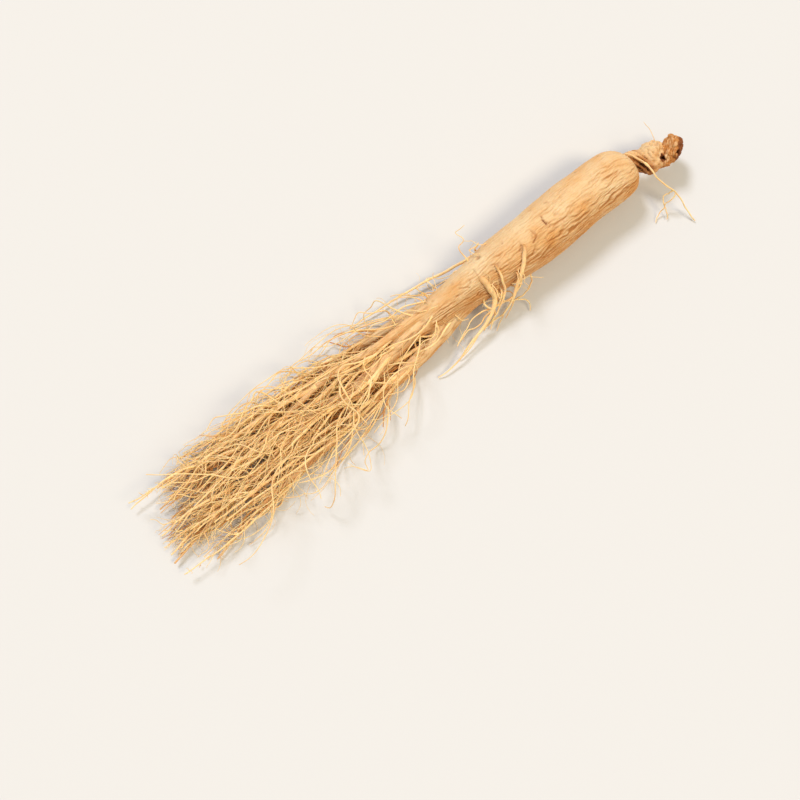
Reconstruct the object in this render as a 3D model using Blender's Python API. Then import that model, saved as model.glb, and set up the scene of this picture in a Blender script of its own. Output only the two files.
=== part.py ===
"""A whole dried ginseng root lying on its side, grown as one piece and so built as one solid.

The stout body points its shoulder along +X, where the gnarled crown sits on a thin neck.
At the tail it forks into legs, and rootlets stream from the body and the legs towards -X.
Sizes here are in millimetres, and are turned into metres where a mesh is made.
The origin is on the flat spot under the belly, on the surface that the root lies on.
"""

import math
import random

import bmesh
import bpy
from mathutils import Matrix, Vector

MM = 0.001
NODE = "ginseng_root"
SKIN_COLOUR = (0.86, 0.56, 0.27, 1.0)
SKIN_ROUGHNESS = 0.62
SEED = 20

# The body. The profile gives radius against the distance from the shoulder, and the axis gives
# the centre line's y and z against the same distance.
SHOULDER_X = 44.0
BODY_LENGTH = 108.5
BODY_PROFILE = (
    (0.0, 1.2),
    (0.7, 4.9),
    (2.4, 7.6),
    (5.0, 9.4),
    (9.0, 10.3),
    (24.0, 10.8),
    (45.0, 11.4),
    (60.0, 10.9),
    (75.0, 9.3),
    (86.0, 7.8),
    (97.0, 6.4),
    (104.0, 5.2),
    (107.4, 3.2),
    (BODY_LENGTH, 0.6),
)
BODY_AXIS = (
    (-6.0, -1.6, 11.9),
    (0.0, -1.3, 11.8),
    (9.0, 0.0, 11.5),
    (45.0, 0.0, 10.9),
    (75.0, 0.9, 9.7),
    (90.0, 1.5, 8.8),
    (BODY_LENGTH, 1.6, 7.0),
    (118.0, 1.6, 6.4),
)
BODY_SIDES = 48
BODY_RING_GAP = 3.9
ROUND_RINGS = 5
LUMP_HEIGHT = 0.3
# Every second column of the body's skin is a crease: its depth, the columns' sway as an angle,
# the lengths over which creases fade in and out, how far from each end of the body they start,
# the share of them left on the belly, and the angle in degrees that shades as an edge.
CREASE_DEPTH = 1.0
CREASE_SWAY = 0.08
CREASE_FADES = (7.0, 19.0)
CREASE_ENDS = 12.0
CREASE_ON_BELLY = 0.15
CREASE_ANGLE = 22

# The neck between shoulder and crown: x, y, z and radius, then the rings that ridge it.
NECK = (
    (38.5, 1.0, 11.6, 3.6),
    (43.4, 1.1, 12.0, 2.9),
    (46.4, 0.5, 12.4, 2.8),
    (48.8, -1.0, 12.8, 2.9),
    (52.2, -2.8, 12.6, 3.6),
)
NECK_SIDES = 12
NECK_RING_GAP = 1.25
NECK_RING_HEIGHT = 0.28
# The knobs that each year's stem left: centre, half sizes, turn about Z and fineness of the ball.
CROWN_LOBES = (
    ((52.2, -4.0, 12.4), (4.7, 6.1, 4.9), -25.0, 3),
    ((62.1, -6.2, 11.8), (3.8, 5.8, 4.6), -48.0, 3),
    ((57.0, -8.0, 11.0), (3.4, 2.4, 3.0), 10.0, 2),
    ((56.4, -2.0, 10.4), (3.2, 3.4, 3.0), 0.0, 2),
    ((55.9, -6.0, 8.8), (3.2, 3.2, 2.5), 0.0, 2),
    ((46.2, 1.2, 12.4), (2.2, 1.7, 2.0), 20.0, 2),
    ((47.6, -2.0, 10.2), (2.6, 4.0, 3.0), -10.0, 2),
    ((54.8, 0.2, 13.4), (2.2, 1.8, 2.0), 0.0, 2),
    ((57.2, -1.8, 12.8), (1.9, 2.2, 2.6), 0.0, 2),
    ((63.9, -3.0, 9.4), (1.9, 2.1, 1.9), 0.0, 2),
)
LOBE_ROUGHNESS = 0.1
# The cups that fallen stems left, the deepest of three balls in a row: centre and radius of each
# ball that hollows one.
STEM_CUPS = (
    ((56.4, -1.6, 16.4), 1.1),
    ((54.5, -7.6, 15.2), 1.3),
    ((55.0, -6.8, 14.4), 1.2),
    ((55.2, -7.2, 12.9), 1.3),
    ((52.6, 0.4, 18.0), 1.6),
    ((61.9, -10.0, 13.4), 1.4),
)

# The legs, from inside the body to their tips: x, y, z and radius.
LEGS = (
    (
        (-42.0, 0.8, 8.4, 5.6),
        (-58.0, 1.6, 7.4, 4.6),
        (-74.0, 0.6, 6.8, 3.5),
        (-95.0, -2.2, 6.2, 2.7),
        (-118.0, -1.2, 5.4, 2.0),
        (-146.0, -4.6, 4.4, 1.3),
        (-172.0, -7.4, 3.4, 0.85),
        (-198.0, -12.0, 2.4, 0.4),
    ),
    (
        (-38.0, -1.8, 7.6, 4.0),
        (-52.0, -4.6, 6.2, 3.5),
        (-67.0, -7.6, 4.6, 3.0),
        (-84.0, -9.6, 3.0, 2.5),
        (-100.0, -10.4, 1.7, 2.0),
        (-126.0, -13.4, 2.6, 1.4),
        (-156.0, -15.4, 3.2, 0.85),
        (-184.0, -21.0, 1.8, 0.4),
    ),
    (
        (-40.0, 2.4, 7.8, 3.4),
        (-54.0, 5.0, 6.4, 3.0),
        (-70.0, 8.0, 4.2, 2.6),
        (-90.0, 11.0, 1.8, 2.1),
        (-112.0, 11.2, 2.6, 1.5),
        (-140.0, 14.6, 3.6, 1.0),
        (-172.0, 19.8, 1.8, 0.4),
    ),
    (
        (-46.0, 0.6, 11.4, 2.2),
        (-62.0, 4.2, 11.2, 1.9),
        (-84.0, 4.8, 10.2, 1.6),
        (-108.0, 7.6, 8.4, 1.3),
        (-136.0, 5.4, 7.0, 0.95),
        (-164.0, 9.4, 5.2, 0.6),
        (-190.0, 8.2, 3.4, 0.35),
    ),
)
LEG_SIDES = 8
LEG_RING_GAP = 7.0

# Rootlets that grow from the body and the neck, and two that branch from the one on the neck:
# x, y, z and radius.
BODY_ROOTLETS = (
    (
        (-13.8, 0.4, 20.2, 1.0),
        (-15.4, -2.8, 22.4, 0.9),
        (-18.2, -6.4, 19.8, 0.85),
        (-21.8, -9.4, 16.0, 0.75),
        (-25.6, -11.8, 11.8, 0.6),
        (-30.0, -14.4, 8.0, 0.45),
    ),
    (
        (-27.6, 1.4, 18.2, 0.6),
        (-28.2, -1.6, 20.4, 0.55),
        (-29.0, -6.0, 18.2, 0.5),
        (-30.2, -10.2, 13.4, 0.42),
        (-35.4, -13.4, 8.8, 0.32),
    ),
    (
        (-34.4, 2.2, 14.8, 1.35),
        (-35.2, -1.6, 18.0, 1.3),
        (-34.8, -5.8, 15.8, 1.2),
        (-34.8, -9.6, 11.4, 1.0),
        (-40.0, -13.6, 7.4, 0.75),
        (-54.0, -17.2, 4.4, 0.4),
    ),
    (
        (-22.0, 6.4, 7.4, 0.8),
        (-28.0, 10.4, 5.8, 0.7),
        (-38.0, 12.2, 4.4, 0.6),
        (-54.0, 15.6, 3.0, 0.45),
        (-76.0, 18.4, 1.6, 0.3),
    ),
    (
        (42.4, 3.2, 13.0, 0.5),
        (45.5, 1.6, 14.0, 0.48),
        (46.4, -2.2, 15.4, 0.42),
        (47.3, -5.4, 16.3, 0.36),
        (47.2, -9.0, 16.4, 0.34),
        (47.3, -12.1, 15.0, 0.33),
        (49.1, -16.6, 12.4, 0.33),
        (51.2, -19.9, 10.0, 0.33),
        (52.4, -23.7, 7.4, 0.3),
        (52.6, -27.3, 4.8, 0.28),
        (53.0, -31.2, 2.4, 0.26),
        (53.4, -34.2, 0.9, 0.24),
    ),
    (
        (51.1, -19.8, 10.1, 0.3),
        (49.6, -19.4, 8.6, 0.28),
        (48.4, -18.8, 7.4, 0.26),
        (47.3, -19.2, 6.4, 0.26),
        (46.6, -21.2, 4.6, 0.24),
        (46.2, -24.1, 2.6, 0.22),
    ),
    (
        (51.6, -21.2, 9.2, 0.3),
        (49.7, -22.1, 7.6, 0.28),
        (47.5, -21.5, 5.6, 0.26),
        (45.6, -22.4, 3.6, 0.24),
        (43.1, -22.8, 1.4, 0.22),
    ),
)

BODY_ROOTLET_RING_GAP = 4.5

# Rootlets that grow from the legs by a rule: how many on each leg, and the stretch of it that
# bears them. A pair is a range to draw from, and the radius at the tip is a share of the base's.
ROOTLETS_PER_LEG = (14, 10, 9, 6)
BEARING_STRETCH = (0.15, 0.84)
ROOTLET_LENGTHS = (44.0, 100.0)
ROOTLET_RADII = (0.5, 1.05)
ROOTLET_TIP_SHARE = 0.36
ROOTLET_SIDES = 5
ROOTLET_RING_GAP = 8.0
# The step that a rootlet takes sideways as it leaves its leg, its slope sideways after that, the
# height that it ends at, the rise of its arch, and the number and reach of its bends.
ROOTLET_STEPS = (1.5, 4.5)
ROOTLET_SLOPES = (-0.03, 0.1)
ROOTLET_HEIGHTS = (1.0, 10.0)
ROOTLET_ARCHES = (-0.75, 1.5)
ROOTLET_BENDS = (0.5, 1.7)
ROOTLET_SWAYS = (0.5, 1.6)
# The ends of the rootlets: no further than the tail, most of the way to it, and clear of the floor.
TAIL_X = -199.0
TAIL_SHARES = (0.82, 1.0)
SIDE_REACH = 25.0
FLOOR_GAP = 0.35


def between(points, along):
    """The smooth curve through a run's points, read at a share of the way along it."""
    spans = len(points) - 1
    place = min(max(along, 0.0), 1.0) * spans
    i = min(int(place), spans - 1)
    t = place - i
    before, a, b, after = (points[min(max(k, 0), spans)] for k in (i - 1, i, i + 1, i + 2))
    return tuple(
        0.5
        * (
            2 * q
            + (r - p) * t
            + (2 * p - 5 * q + 4 * r - s) * t * t
            + (3 * q - p - 3 * r + s) * t * t * t
        )
        for p, q, r, s in zip(before, a, b, after)
    )


def table_value(table, key, column):
    """A smooth value from a table whose first column is the key and grows."""
    last = len(table) - 1
    i = 0
    while i < last - 1 and key > table[i + 1][0]:
        i += 1
    x0, x1 = table[i][0], table[i + 1][0]
    t = min(max((key - x0) / (x1 - x0), 0.0), 1.0)
    y0, y1 = table[i][column], table[i + 1][column]
    before, after = table[max(i - 1, 0)], table[min(i + 2, last)]
    slope0 = (y1 - before[column]) / (x1 - before[0]) * (x1 - x0)
    slope1 = (after[column] - y0) / (after[0] - x0) * (x1 - x0)
    rise = (2 * t**3 - 3 * t**2 + 1) * y0 + (t**3 - 2 * t**2 + t) * slope0
    return rise + (3 * t**2 - 2 * t**3) * y1 + (t**3 - t**2) * slope1


def fade(value, start, end):
    """0 at start, 1 at end, with a soft turn at both."""
    t = min(max((value - start) / (end - start), 0.0), 1.0)
    return t * t * (3 - 2 * t)


def body_lumps(s, angle):
    """Broad swellings and hollows of the body, in units of LUMP_HEIGHT."""
    return (
        math.cos(2 * angle + 0.8 + s / 31)
        + 0.8 * math.cos(3 * angle - 1.1 - s / 19)
        + 0.7 * math.sin(s / 8.5 + 1.6 * math.cos(angle + 0.6))
        + 0.5 * math.sin(s / 5.1 + 2.2 * math.cos(angle - 1.9))
    )


def away_from_ends(s, stretch):
    """0 at either end of the body, and 1 further than a stretch from both."""
    return fade(s, 0.0, stretch) * fade(s, BODY_LENGTH, BODY_LENGTH - stretch)


def crease_depth(s, angle, fade_length, phase):
    """How far a long wrinkle sinks in, deepest on the -Y flank and shallow on the belly."""
    strength = 0.56 + 0.44 * math.sin(s / fade_length + phase)
    flank = 0.7 + 0.3 * math.cos(angle)
    belly = fade(-math.sin(angle), 0.5, 0.95)
    depth = CREASE_DEPTH * strength * flank * (1 - (1 - CREASE_ON_BELLY) * belly)
    return depth * away_from_ends(s, CREASE_ENDS)


def body_radius(s, angle):
    """The body's radius without its creases; an angle of 0 points to -Y and a quarter turn up."""
    lumps = LUMP_HEIGHT * body_lumps(s, angle) * away_from_ends(s, CREASE_ENDS)
    return table_value(BODY_PROFILE, s, 1) + lumps


def body_centre(s):
    return Vector((SHOULDER_X - s, table_value(BODY_AXIS, s, 1), table_value(BODY_AXIS, s, 2)))


def rootlet_run(rng, leg, share, side):
    """The points and radii of one rootlet that leaves a leg and streams to the tail."""
    x, y, z, leg_radius = between(leg, share)
    length = min(rng.uniform(*ROOTLET_LENGTHS), (x - TAIL_X) * rng.uniform(*TAIL_SHARES))
    radius = min(rng.uniform(*ROOTLET_RADII), 0.8 * leg_radius)
    step = side * rng.uniform(*ROOTLET_STEPS)
    slope = side * rng.uniform(*ROOTLET_SLOPES)
    height = rng.uniform(*ROOTLET_HEIGHTS)
    arch = rng.uniform(*ROOTLET_ARCHES)
    sway = rng.uniform(*ROOTLET_SWAYS)
    bends = [(rng.uniform(*ROOTLET_BENDS), rng.uniform(0.0, math.tau)) for _ in range(4)]
    rings = round(length / ROOTLET_RING_GAP)
    run = []
    for i in range(rings + 1):
        t = i / rings
        wave = [fade(t, 0.0, 0.45) * math.sin(math.tau * turns * t + phase) for turns, phase in bends]
        across = y + step * (1 - math.exp(-5 * t)) + slope * length * t
        across += sway * (wave[0] + wave[1])
        up = z + (height - z) * fade(t, 0.1, 0.9) + arch * 4 * t * (1 - t)
        up += 0.7 * sway * (wave[2] + wave[3])
        r = radius * (1 - (1 - ROOTLET_TIP_SHARE) * t)
        across = max(-SIDE_REACH, min(SIDE_REACH, across))
        run.append((x - length * t, across, max(up, r + FLOOR_GAP), r))
    return run


def rootlet_runs():
    """Every rootlet on the legs, dealt to either side in turn."""
    rng = random.Random(SEED)
    first, last = BEARING_STRETCH
    runs = []
    for leg, count in zip(LEGS, ROOTLETS_PER_LEG):
        for i in range(count):
            share = first + (i + rng.uniform(0.2, 0.8)) * (last - first) / count
            runs.append(rootlet_run(rng, leg, share, 1 if i % 2 else -1))
    return runs


def resampled(run, gap):
    """A hand-placed run of few points, read from the smooth curve through them."""
    length = sum((Vector(b[:3]) - Vector(a[:3])).length for a, b in zip(run, run[1:]))
    rings = max(len(run), round(length / gap))
    return [between(run, i / rings) for i in range(rings + 1)]


def new_object(name, mesh):
    made = bpy.data.objects.new(name, mesh)
    bpy.context.scene.collection.objects.link(made)
    return made


def rings_to_faces(rings, sides):
    """Faces of a closed skin over rings of points with a pole at each end."""
    first_pole, last_pole = rings * sides, rings * sides + 1
    faces = []
    for j in range(sides):
        k = (j + 1) % sides
        faces.append((first_pole, k, j))
        faces.append((last_pole, (rings - 1) * sides + j, (rings - 1) * sides + k))
        for i in range(rings - 1):
            a, b = i * sides, (i + 1) * sides
            faces.append((a + j, a + k, b + k, b + j))
    return faces


def skin(name, points, rings, sides):
    """A closed skin over rings of points and then the two poles, in millimetres."""
    mesh = bpy.data.meshes.new(name)
    mesh.from_pydata([point * MM for point in points], [], rings_to_faces(rings, sides))
    return new_object(name, mesh)


def tube(name, run, sides):
    """A tapered round root along a run of x, y, z and radius, with a short pointed tip."""
    centres = [Vector(p[:3]) for p in run]
    points = []
    normal = None
    for i, centre in enumerate(centres):
        ahead = centres[min(i + 1, len(run) - 1)] - centres[max(i - 1, 0)]
        ahead.normalize()
        if normal is None:
            normal = ahead.orthogonal()
        normal = (normal - ahead * normal.dot(ahead)).normalized()
        other = ahead.cross(normal)
        for j in range(sides):
            angle = math.tau * j / sides
            spoke = normal * math.cos(angle) + other * math.sin(angle)
            points.append(centre + spoke * run[i][3])
    points.append(centres[0])
    points.append(centres[-1] + (centres[-1] - centres[-2]).normalized() * run[-1][3])
    return skin(name, points, len(run), sides)


def body_stations():
    """Distances from the shoulder at which the body has a ring: close together round its ends."""
    stations = [s for s, _ in BODY_PROFILE[:ROUND_RINGS]]
    start, end = stations[-1], BODY_PROFILE[-3][0]
    count = round((end - start) / BODY_RING_GAP)
    stations += [start + (end - start) * (i + 1) / count for i in range(count)]
    return stations + [s for s, _ in BODY_PROFILE[-2:]]


def body():
    """The stout body, with its lumps and long wrinkles raised by a formula."""
    rng = random.Random(SEED)
    creases = [(rng.uniform(*CREASE_FADES), rng.uniform(0, math.tau)) for _ in range(BODY_SIDES)]
    stations = body_stations()
    points = []
    for s in stations:
        for j in range(BODY_SIDES):
            angle = math.tau * j / BODY_SIDES
            angle += CREASE_SWAY * (math.sin(s / 17) + 0.6 * math.sin(s / 9 + 2 * angle))
            radius = body_radius(s, angle)
            if j % 2:
                radius -= crease_depth(s, angle, *creases[j])
            spoke = Vector((0.0, -math.cos(angle), math.sin(angle)))
            points.append(body_centre(s) + spoke * radius)
    points += [body_centre(0.0), body_centre(BODY_LENGTH)]
    return skin("body", points, len(stations), BODY_SIDES)


def neck():
    """The neck, ridged by rings where each year's bud stood."""
    run = resampled(NECK, NECK_RING_GAP)
    ringed = []
    for i, (x, y, z, radius) in enumerate(run):
        ringed.append((x, y, z, radius + NECK_RING_HEIGHT * (1 if i % 2 else -1)))
    return tube("neck", ringed, NECK_SIDES)


def ball(name, fineness, placed):
    """A ball whose points go from the unit sphere to where a function places them."""
    round_one = bmesh.new()
    bmesh.ops.create_icosphere(round_one, subdivisions=fineness, radius=1.0)
    for vertex in round_one.verts:
        vertex.co = placed(vertex.co) * MM
    mesh = bpy.data.meshes.new(name)
    round_one.to_mesh(mesh)
    round_one.free()
    return new_object(name, mesh)


def lobe(name, centre, half_sizes, turn, fineness):
    """One knob of the crown: a ball stretched, turned and roughened by waves."""
    turned = Matrix.Rotation(math.radians(turn), 3, "Z")

    def placed(at):
        rough = math.sin(5 * at.x + 2 * at.z) * math.cos(4 * at.y + at.x)
        rough += math.sin(6 * at.z + 3 * at.y)
        rough += 0.7 * math.sin(9 * at.x - 5 * at.y) * math.cos(7 * at.z + 2)
        stretched = at * Vector(half_sizes) * (1 + LOBE_ROUGHNESS * rough)
        return turned @ stretched + Vector(centre)

    return ball(name, fineness, placed)


def stem_cup(name, centre, radius):
    """A ball that hollows the cup which a fallen stem left."""
    return ball(name, 2, lambda at: at * radius + Vector(centre))


def combine(target, others, operation):
    """Joins or cuts others with target in one applied Boolean, then removes them."""
    group = bpy.data.collections.new("operands")
    bpy.context.scene.collection.children.link(group)
    for other in others:
        group.objects.link(other)
    modifier = target.modifiers.new(operation, "BOOLEAN")
    modifier.operation = operation
    modifier.operand_type = "COLLECTION"
    modifier.collection = group
    modifier.solver = "EXACT"
    bpy.context.view_layer.update()
    graph = bpy.context.evaluated_depsgraph_get()
    result = bpy.data.meshes.new_from_object(target.evaluated_get(graph))
    target.modifiers.clear()
    target.data = result
    for other in others:
        bpy.data.objects.remove(other)
    bpy.data.collections.remove(group)


def rest_on_floor(target):
    """Trims what dips under z = 0, which leaves small flat spots on the belly and two legs."""
    trimmed = bmesh.new()
    trimmed.from_mesh(target.data)
    everything = trimmed.verts[:] + trimmed.edges[:] + trimmed.faces[:]
    bmesh.ops.bisect_plane(
        trimmed,
        geom=everything,
        dist=1e-7,
        plane_co=(0, 0, 0),
        plane_no=(0, 0, 1),
        clear_inner=True,
    )
    bmesh.ops.holes_fill(trimmed, edges=[e for e in trimmed.edges if e.is_boundary], sides=0)
    bmesh.ops.triangulate(trimmed, faces=trimmed.faces[:])
    bmesh.ops.recalc_face_normals(trimmed, faces=trimmed.faces[:])
    trimmed.to_mesh(target.data)
    trimmed.free()


def dried_root():
    """The straw-coloured skin."""
    material = bpy.data.materials.new("dried_root")
    material.use_nodes = True
    material.diffuse_color = SKIN_COLOUR
    shader = material.node_tree.nodes["Principled BSDF"]
    shader.inputs["Base Color"].default_value = SKIN_COLOUR
    shader.inputs["Roughness"].default_value = SKIN_ROUGHNESS
    shader.inputs["Metallic"].default_value = 0.0
    return material


def grown_parts():
    """Everything that grows from the body: neck, crown, legs and rootlets."""
    grown = [neck()]
    for i, values in enumerate(CROWN_LOBES):
        grown.append(lobe(f"lobe_{i}", *values))
    for i, leg in enumerate(LEGS):
        grown.append(tube(f"leg_{i}", resampled(leg, LEG_RING_GAP), LEG_SIDES))
    for i, points in enumerate(BODY_ROOTLETS):
        run = resampled(points, BODY_ROOTLET_RING_GAP)
        grown.append(tube(f"body_rootlet_{i}", run, ROOTLET_SIDES))
    for i, run in enumerate(rootlet_runs()):
        grown.append(tube(f"leg_rootlet_{i}", run, ROOTLET_SIDES))
    return grown


def main():
    for old in list(bpy.data.objects):
        bpy.data.objects.remove(old)
    root = body()
    combine(root, grown_parts(), "UNION")
    combine(root, [stem_cup(f"cup_{i}", *values) for i, values in enumerate(STEM_CUPS)], "DIFFERENCE")
    rest_on_floor(root)
    root.name = NODE
    root.data.name = NODE
    root.data.materials.clear()
    root.data.materials.append(dried_root())
    root.data.shade_smooth()
    root.data.set_sharp_from_angle(angle=math.radians(CREASE_ANGLE))


main()
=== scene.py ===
"""The look of a whole dried ginseng root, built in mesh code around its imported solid.

Lengths here are in millimetres, in the row's frame, and are turned into metres where a mesh is made.
The body and legs are one skin drawn round a field of distances, the crown is another, and the
rootlets are swept tubes. The same rule as in the solid's source places the main rootlets.
"""

import itertools
import math
import random
from collections import namedtuple

import bpy
import numpy as np
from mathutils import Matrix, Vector


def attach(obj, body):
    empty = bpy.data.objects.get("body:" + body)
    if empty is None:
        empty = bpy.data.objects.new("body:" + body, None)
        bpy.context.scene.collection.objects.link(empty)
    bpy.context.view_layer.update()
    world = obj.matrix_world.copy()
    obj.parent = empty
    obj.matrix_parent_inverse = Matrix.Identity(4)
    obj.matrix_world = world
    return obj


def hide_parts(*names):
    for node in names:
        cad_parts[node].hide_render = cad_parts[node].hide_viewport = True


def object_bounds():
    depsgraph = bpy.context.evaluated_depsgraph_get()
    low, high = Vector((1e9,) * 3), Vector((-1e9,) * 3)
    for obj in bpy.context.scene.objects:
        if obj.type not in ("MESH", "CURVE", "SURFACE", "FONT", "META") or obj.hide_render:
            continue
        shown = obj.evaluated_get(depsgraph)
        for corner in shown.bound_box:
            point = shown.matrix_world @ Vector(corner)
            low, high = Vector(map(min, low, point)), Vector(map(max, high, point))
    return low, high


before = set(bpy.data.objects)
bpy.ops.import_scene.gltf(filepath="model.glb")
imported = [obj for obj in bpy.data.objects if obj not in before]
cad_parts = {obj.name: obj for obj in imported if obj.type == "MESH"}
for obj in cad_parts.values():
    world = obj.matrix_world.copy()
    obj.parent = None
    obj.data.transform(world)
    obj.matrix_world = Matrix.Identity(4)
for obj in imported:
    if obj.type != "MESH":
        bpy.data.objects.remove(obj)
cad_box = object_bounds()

MM = 0.001
SEED = 20
# The box that tubes stay in: just off the floor, and a little past the solid on the far side.
LOW = np.array(cad_box[0]) / MM + np.array((0.0, 0.0, 0.02))
HIGH = np.array(cad_box[1]) / MM + np.array((0.0, 0.6, 0.0))

# The solid's own sizes: radius against the distance from the shoulder, and the centre line's y and z.
# Runs of the neck, legs and rootlets are rows of x, y, z and radius.
SHOULDER_X = 44.0
BODY_LENGTH = 108.5
BODY_PROFILE = (
    (0.0, 1.2), (0.7, 4.9), (2.4, 7.6), (5.0, 9.4), (9.0, 10.3), (24.0, 10.8), (45.0, 11.4),
    (60.0, 10.9), (75.0, 9.3), (86.0, 7.8), (97.0, 6.4), (104.0, 5.2), (107.4, 3.2), (BODY_LENGTH, 0.6),
)
BODY_AXIS = (
    (-6.0, -1.6, 11.9), (0.0, -1.3, 11.8), (9.0, 0.0, 11.5), (45.0, 0.0, 10.9), (75.0, 0.9, 9.7),
    (90.0, 1.5, 8.8), (BODY_LENGTH, 1.6, 7.0), (118.0, 1.6, 6.4),
)
BODY_GIRTH_RADIUS = 10.5
LUMP_HEIGHT = 0.3
LUMP_ENDS = 12.0
NECK = (
    (38.5, 1.0, 11.6, 3.6), (43.4, 1.1, 12.0, 2.9), (46.4, 0.5, 12.4, 2.8),
    (48.8, -1.0, 12.8, 2.9), (52.2, -2.8, 12.6, 3.6),
)
# Knobs: centre, half sizes and turn in degrees.
CROWN_LOBES = (
    ((52.2, -4.0, 12.4), (4.7, 6.1, 4.9), -25.0),
    ((62.1, -6.2, 11.8), (3.8, 5.8, 4.6), -48.0),
    ((57.0, -8.0, 11.0), (3.4, 2.4, 3.0), 10.0),
    ((56.4, -2.0, 10.4), (3.2, 3.4, 3.0), 0.0),
    ((55.9, -6.0, 8.8), (3.2, 3.2, 2.5), 0.0),
    ((46.2, 1.2, 12.4), (2.2, 1.7, 2.0), 20.0),
    ((47.6, -2.0, 10.2), (2.6, 4.0, 3.0), -10.0),
    ((54.8, 0.2, 13.4), (2.2, 1.8, 2.0), 0.0),
    ((57.2, -1.8, 12.8), (1.9, 2.2, 2.6), 0.0),
    ((63.9, -3.0, 9.4), (1.9, 2.1, 1.9), 0.0),
)
# Small lumps that close the gap between the two knobs above their pit.
KNOB_JOINS = (
    ((58.2, -4.4, 12.0), (1.7, 1.7, 2.4), 0.0),
    ((58.9, -3.4, 10.6), (1.6, 1.6, 2.2), 0.0),
)
# Hollows that old stems left, with centre and radius. Some of them make the pit between the knobs.
STEM_CUPS = (
    ((56.4, -1.6, 16.4), 1.1),
    ((54.5, -7.6, 15.2), 1.3),
    ((55.0, -6.8, 14.4), 1.2),
    ((55.2, -7.2, 12.9), 1.3),
    ((52.6, 0.4, 18.0), 1.6),
    ((61.2, -9.2, 14.6), 1.1),
)
PIT_CUPS = (1, 2, 3)
# Cord-like strands that run from the shoulder over the neck into the first knob.
NECK_STRANDS = (
    ((41.4, 3.2, 12.0, 0.7), (44.6, 3.2, 13.4, 0.75), (46.6, 1.6, 14.9, 0.7), (47.3, 0.0, 15.6, 0.6),
     (47.8, -3.0, 16.2, 0.5), (48.4, -6.4, 15.6, 0.35)),
    ((41.4, 2.8, 13.2, 0.45), (44.2, 2.4, 14.7, 0.5), (45.5, 0.8, 15.5, 0.46), (46.4, -2.2, 15.9, 0.42),
     (47.2, -5.2, 16.0, 0.36)),
    ((42.6, 3.4, 10.6, 0.6), (45.8, 3.2, 12.0, 0.6), (48.0, 1.8, 13.6, 0.6), (48.8, 0.0, 14.9, 0.55),
     (49.4, -2.6, 15.9, 0.5), (50.2, -5.6, 16.2, 0.4)),
    ((42.6, 0.6, 12.8, 0.6), (44.8, -0.8, 13.4, 0.6), (45.6, -3.1, 13.6, 0.6), (46.3, -5.8, 13.4, 0.5),
     (47.2, -8.4, 12.2, 0.4)),
    ((42.8, -0.8, 10.6, 0.7), (44.9, -1.8, 11.2, 0.7), (45.6, -3.9, 11.4, 0.7), (46.5, -6.4, 11.2, 0.6),
     (48.2, -8.6, 10.4, 0.4)),
    ((43.6, 0.0, 8.8, 0.7), (45.4, -1.8, 9.0, 0.7), (46.4, -4.4, 9.2, 0.6), (48.2, -6.8, 9.2, 0.5)),
)
# A single hair that stands up from the first knob.
CROWN_HAIR = (
    (56.9, -0.4, 14.0, 0.16), (57.4, 1.2, 15.4, 0.14), (57.9, 3.9, 15.8, 0.12), (58.9, 6.8, 15.0, 0.11),
    (59.6, 9.6, 13.0, 0.09),
)
# The thin rootlet where it lies over the neck.
NECK_THREAD = (
    (44.2, 3.2, 14.8, 0.3), (45.0, 1.9, 15.7, 0.36), (45.6, -0.3, 16.2, 0.36), (46.3, -2.6, 16.3, 0.36),
    (46.9, -4.8, 16.5, 0.36), (47.2, -7.4, 16.5, 0.33), (47.2, -9.6, 16.2, 0.3),
)
# The crease between the lit and the shaded side of the last knob.
KNOB_CREASE = (
    (66.6, -3.8, 12.0), (64.6, -6.0, 13.6), (62.5, -7.8, 14.2), (60.8, -9.0, 13.9), (59.3, -9.8, 13.0),
)
# Thin rootlets that loop beside the lower flank.
FLANK_ROOTLETS = (
    ((-20.0, -9.3, 9.0, 0.36), (-24.0, -12.0, 8.0, 0.36), (-31.0, -12.6, 7.2, 0.34),
     (-38.0, -11.0, 7.4, 0.3), (-44.0, -9.6, 8.0, 0.28), (-50.0, -11.0, 5.0, 0.24),
     (-57.0, -14.0, 3.0, 0.2)),
    ((-26.0, -7.5, 6.0, 0.34), (-24.2, -10.6, 8.0, 0.32), (-27.4, -13.2, 9.2, 0.3),
     (-32.0, -12.6, 9.2, 0.3), (-33.6, -10.2, 8.2, 0.28), (-30.0, -8.9, 8.0, 0.28),
     (-26.6, -10.8, 6.4, 0.26), (-28.0, -14.4, 4.0, 0.24), (-34.0, -17.0, 2.0, 0.18)),
    ((-32.0, -7.4, 12.0, 0.3), (-33.0, -11.0, 11.0, 0.3), (-30.0, -13.6, 8.0, 0.28),
     (-25.6, -15.0, 5.0, 0.26), (-22.6, -17.6, 2.6, 0.22), (-24.0, -20.6, 0.9, 0.16)),
    ((-38.0, -6.3, 10.0, 0.42), (-39.2, -9.6, 9.6, 0.4), (-37.0, -12.6, 8.0, 0.38),
     (-40.0, -15.2, 5.6, 0.34), (-47.0, -15.6, 3.6, 0.3), (-54.0, -18.0, 1.6, 0.24),
     (-60.0, -18.4, 1.0, 0.18)),
    ((-16.0, -9.8, 8.0, 0.32), (-18.0, -13.0, 7.0, 0.3), (-23.0, -14.6, 5.2, 0.28),
     (-27.0, -13.8, 3.4, 0.26), (-33.0, -15.0, 2.0, 0.22), (-40.0, -18.6, 0.9, 0.16)),
    ((-30.0, -6.6, 13.0, 0.36), (-31.6, -10.0, 12.0, 0.34), (-35.0, -12.0, 9.6, 0.32),
     (-41.0, -12.2, 8.0, 0.3), (-46.0, -13.4, 6.0, 0.26), (-50.0, -12.0, 4.6, 0.24),
     (-56.0, -13.6, 3.0, 0.18)),
)
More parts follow.
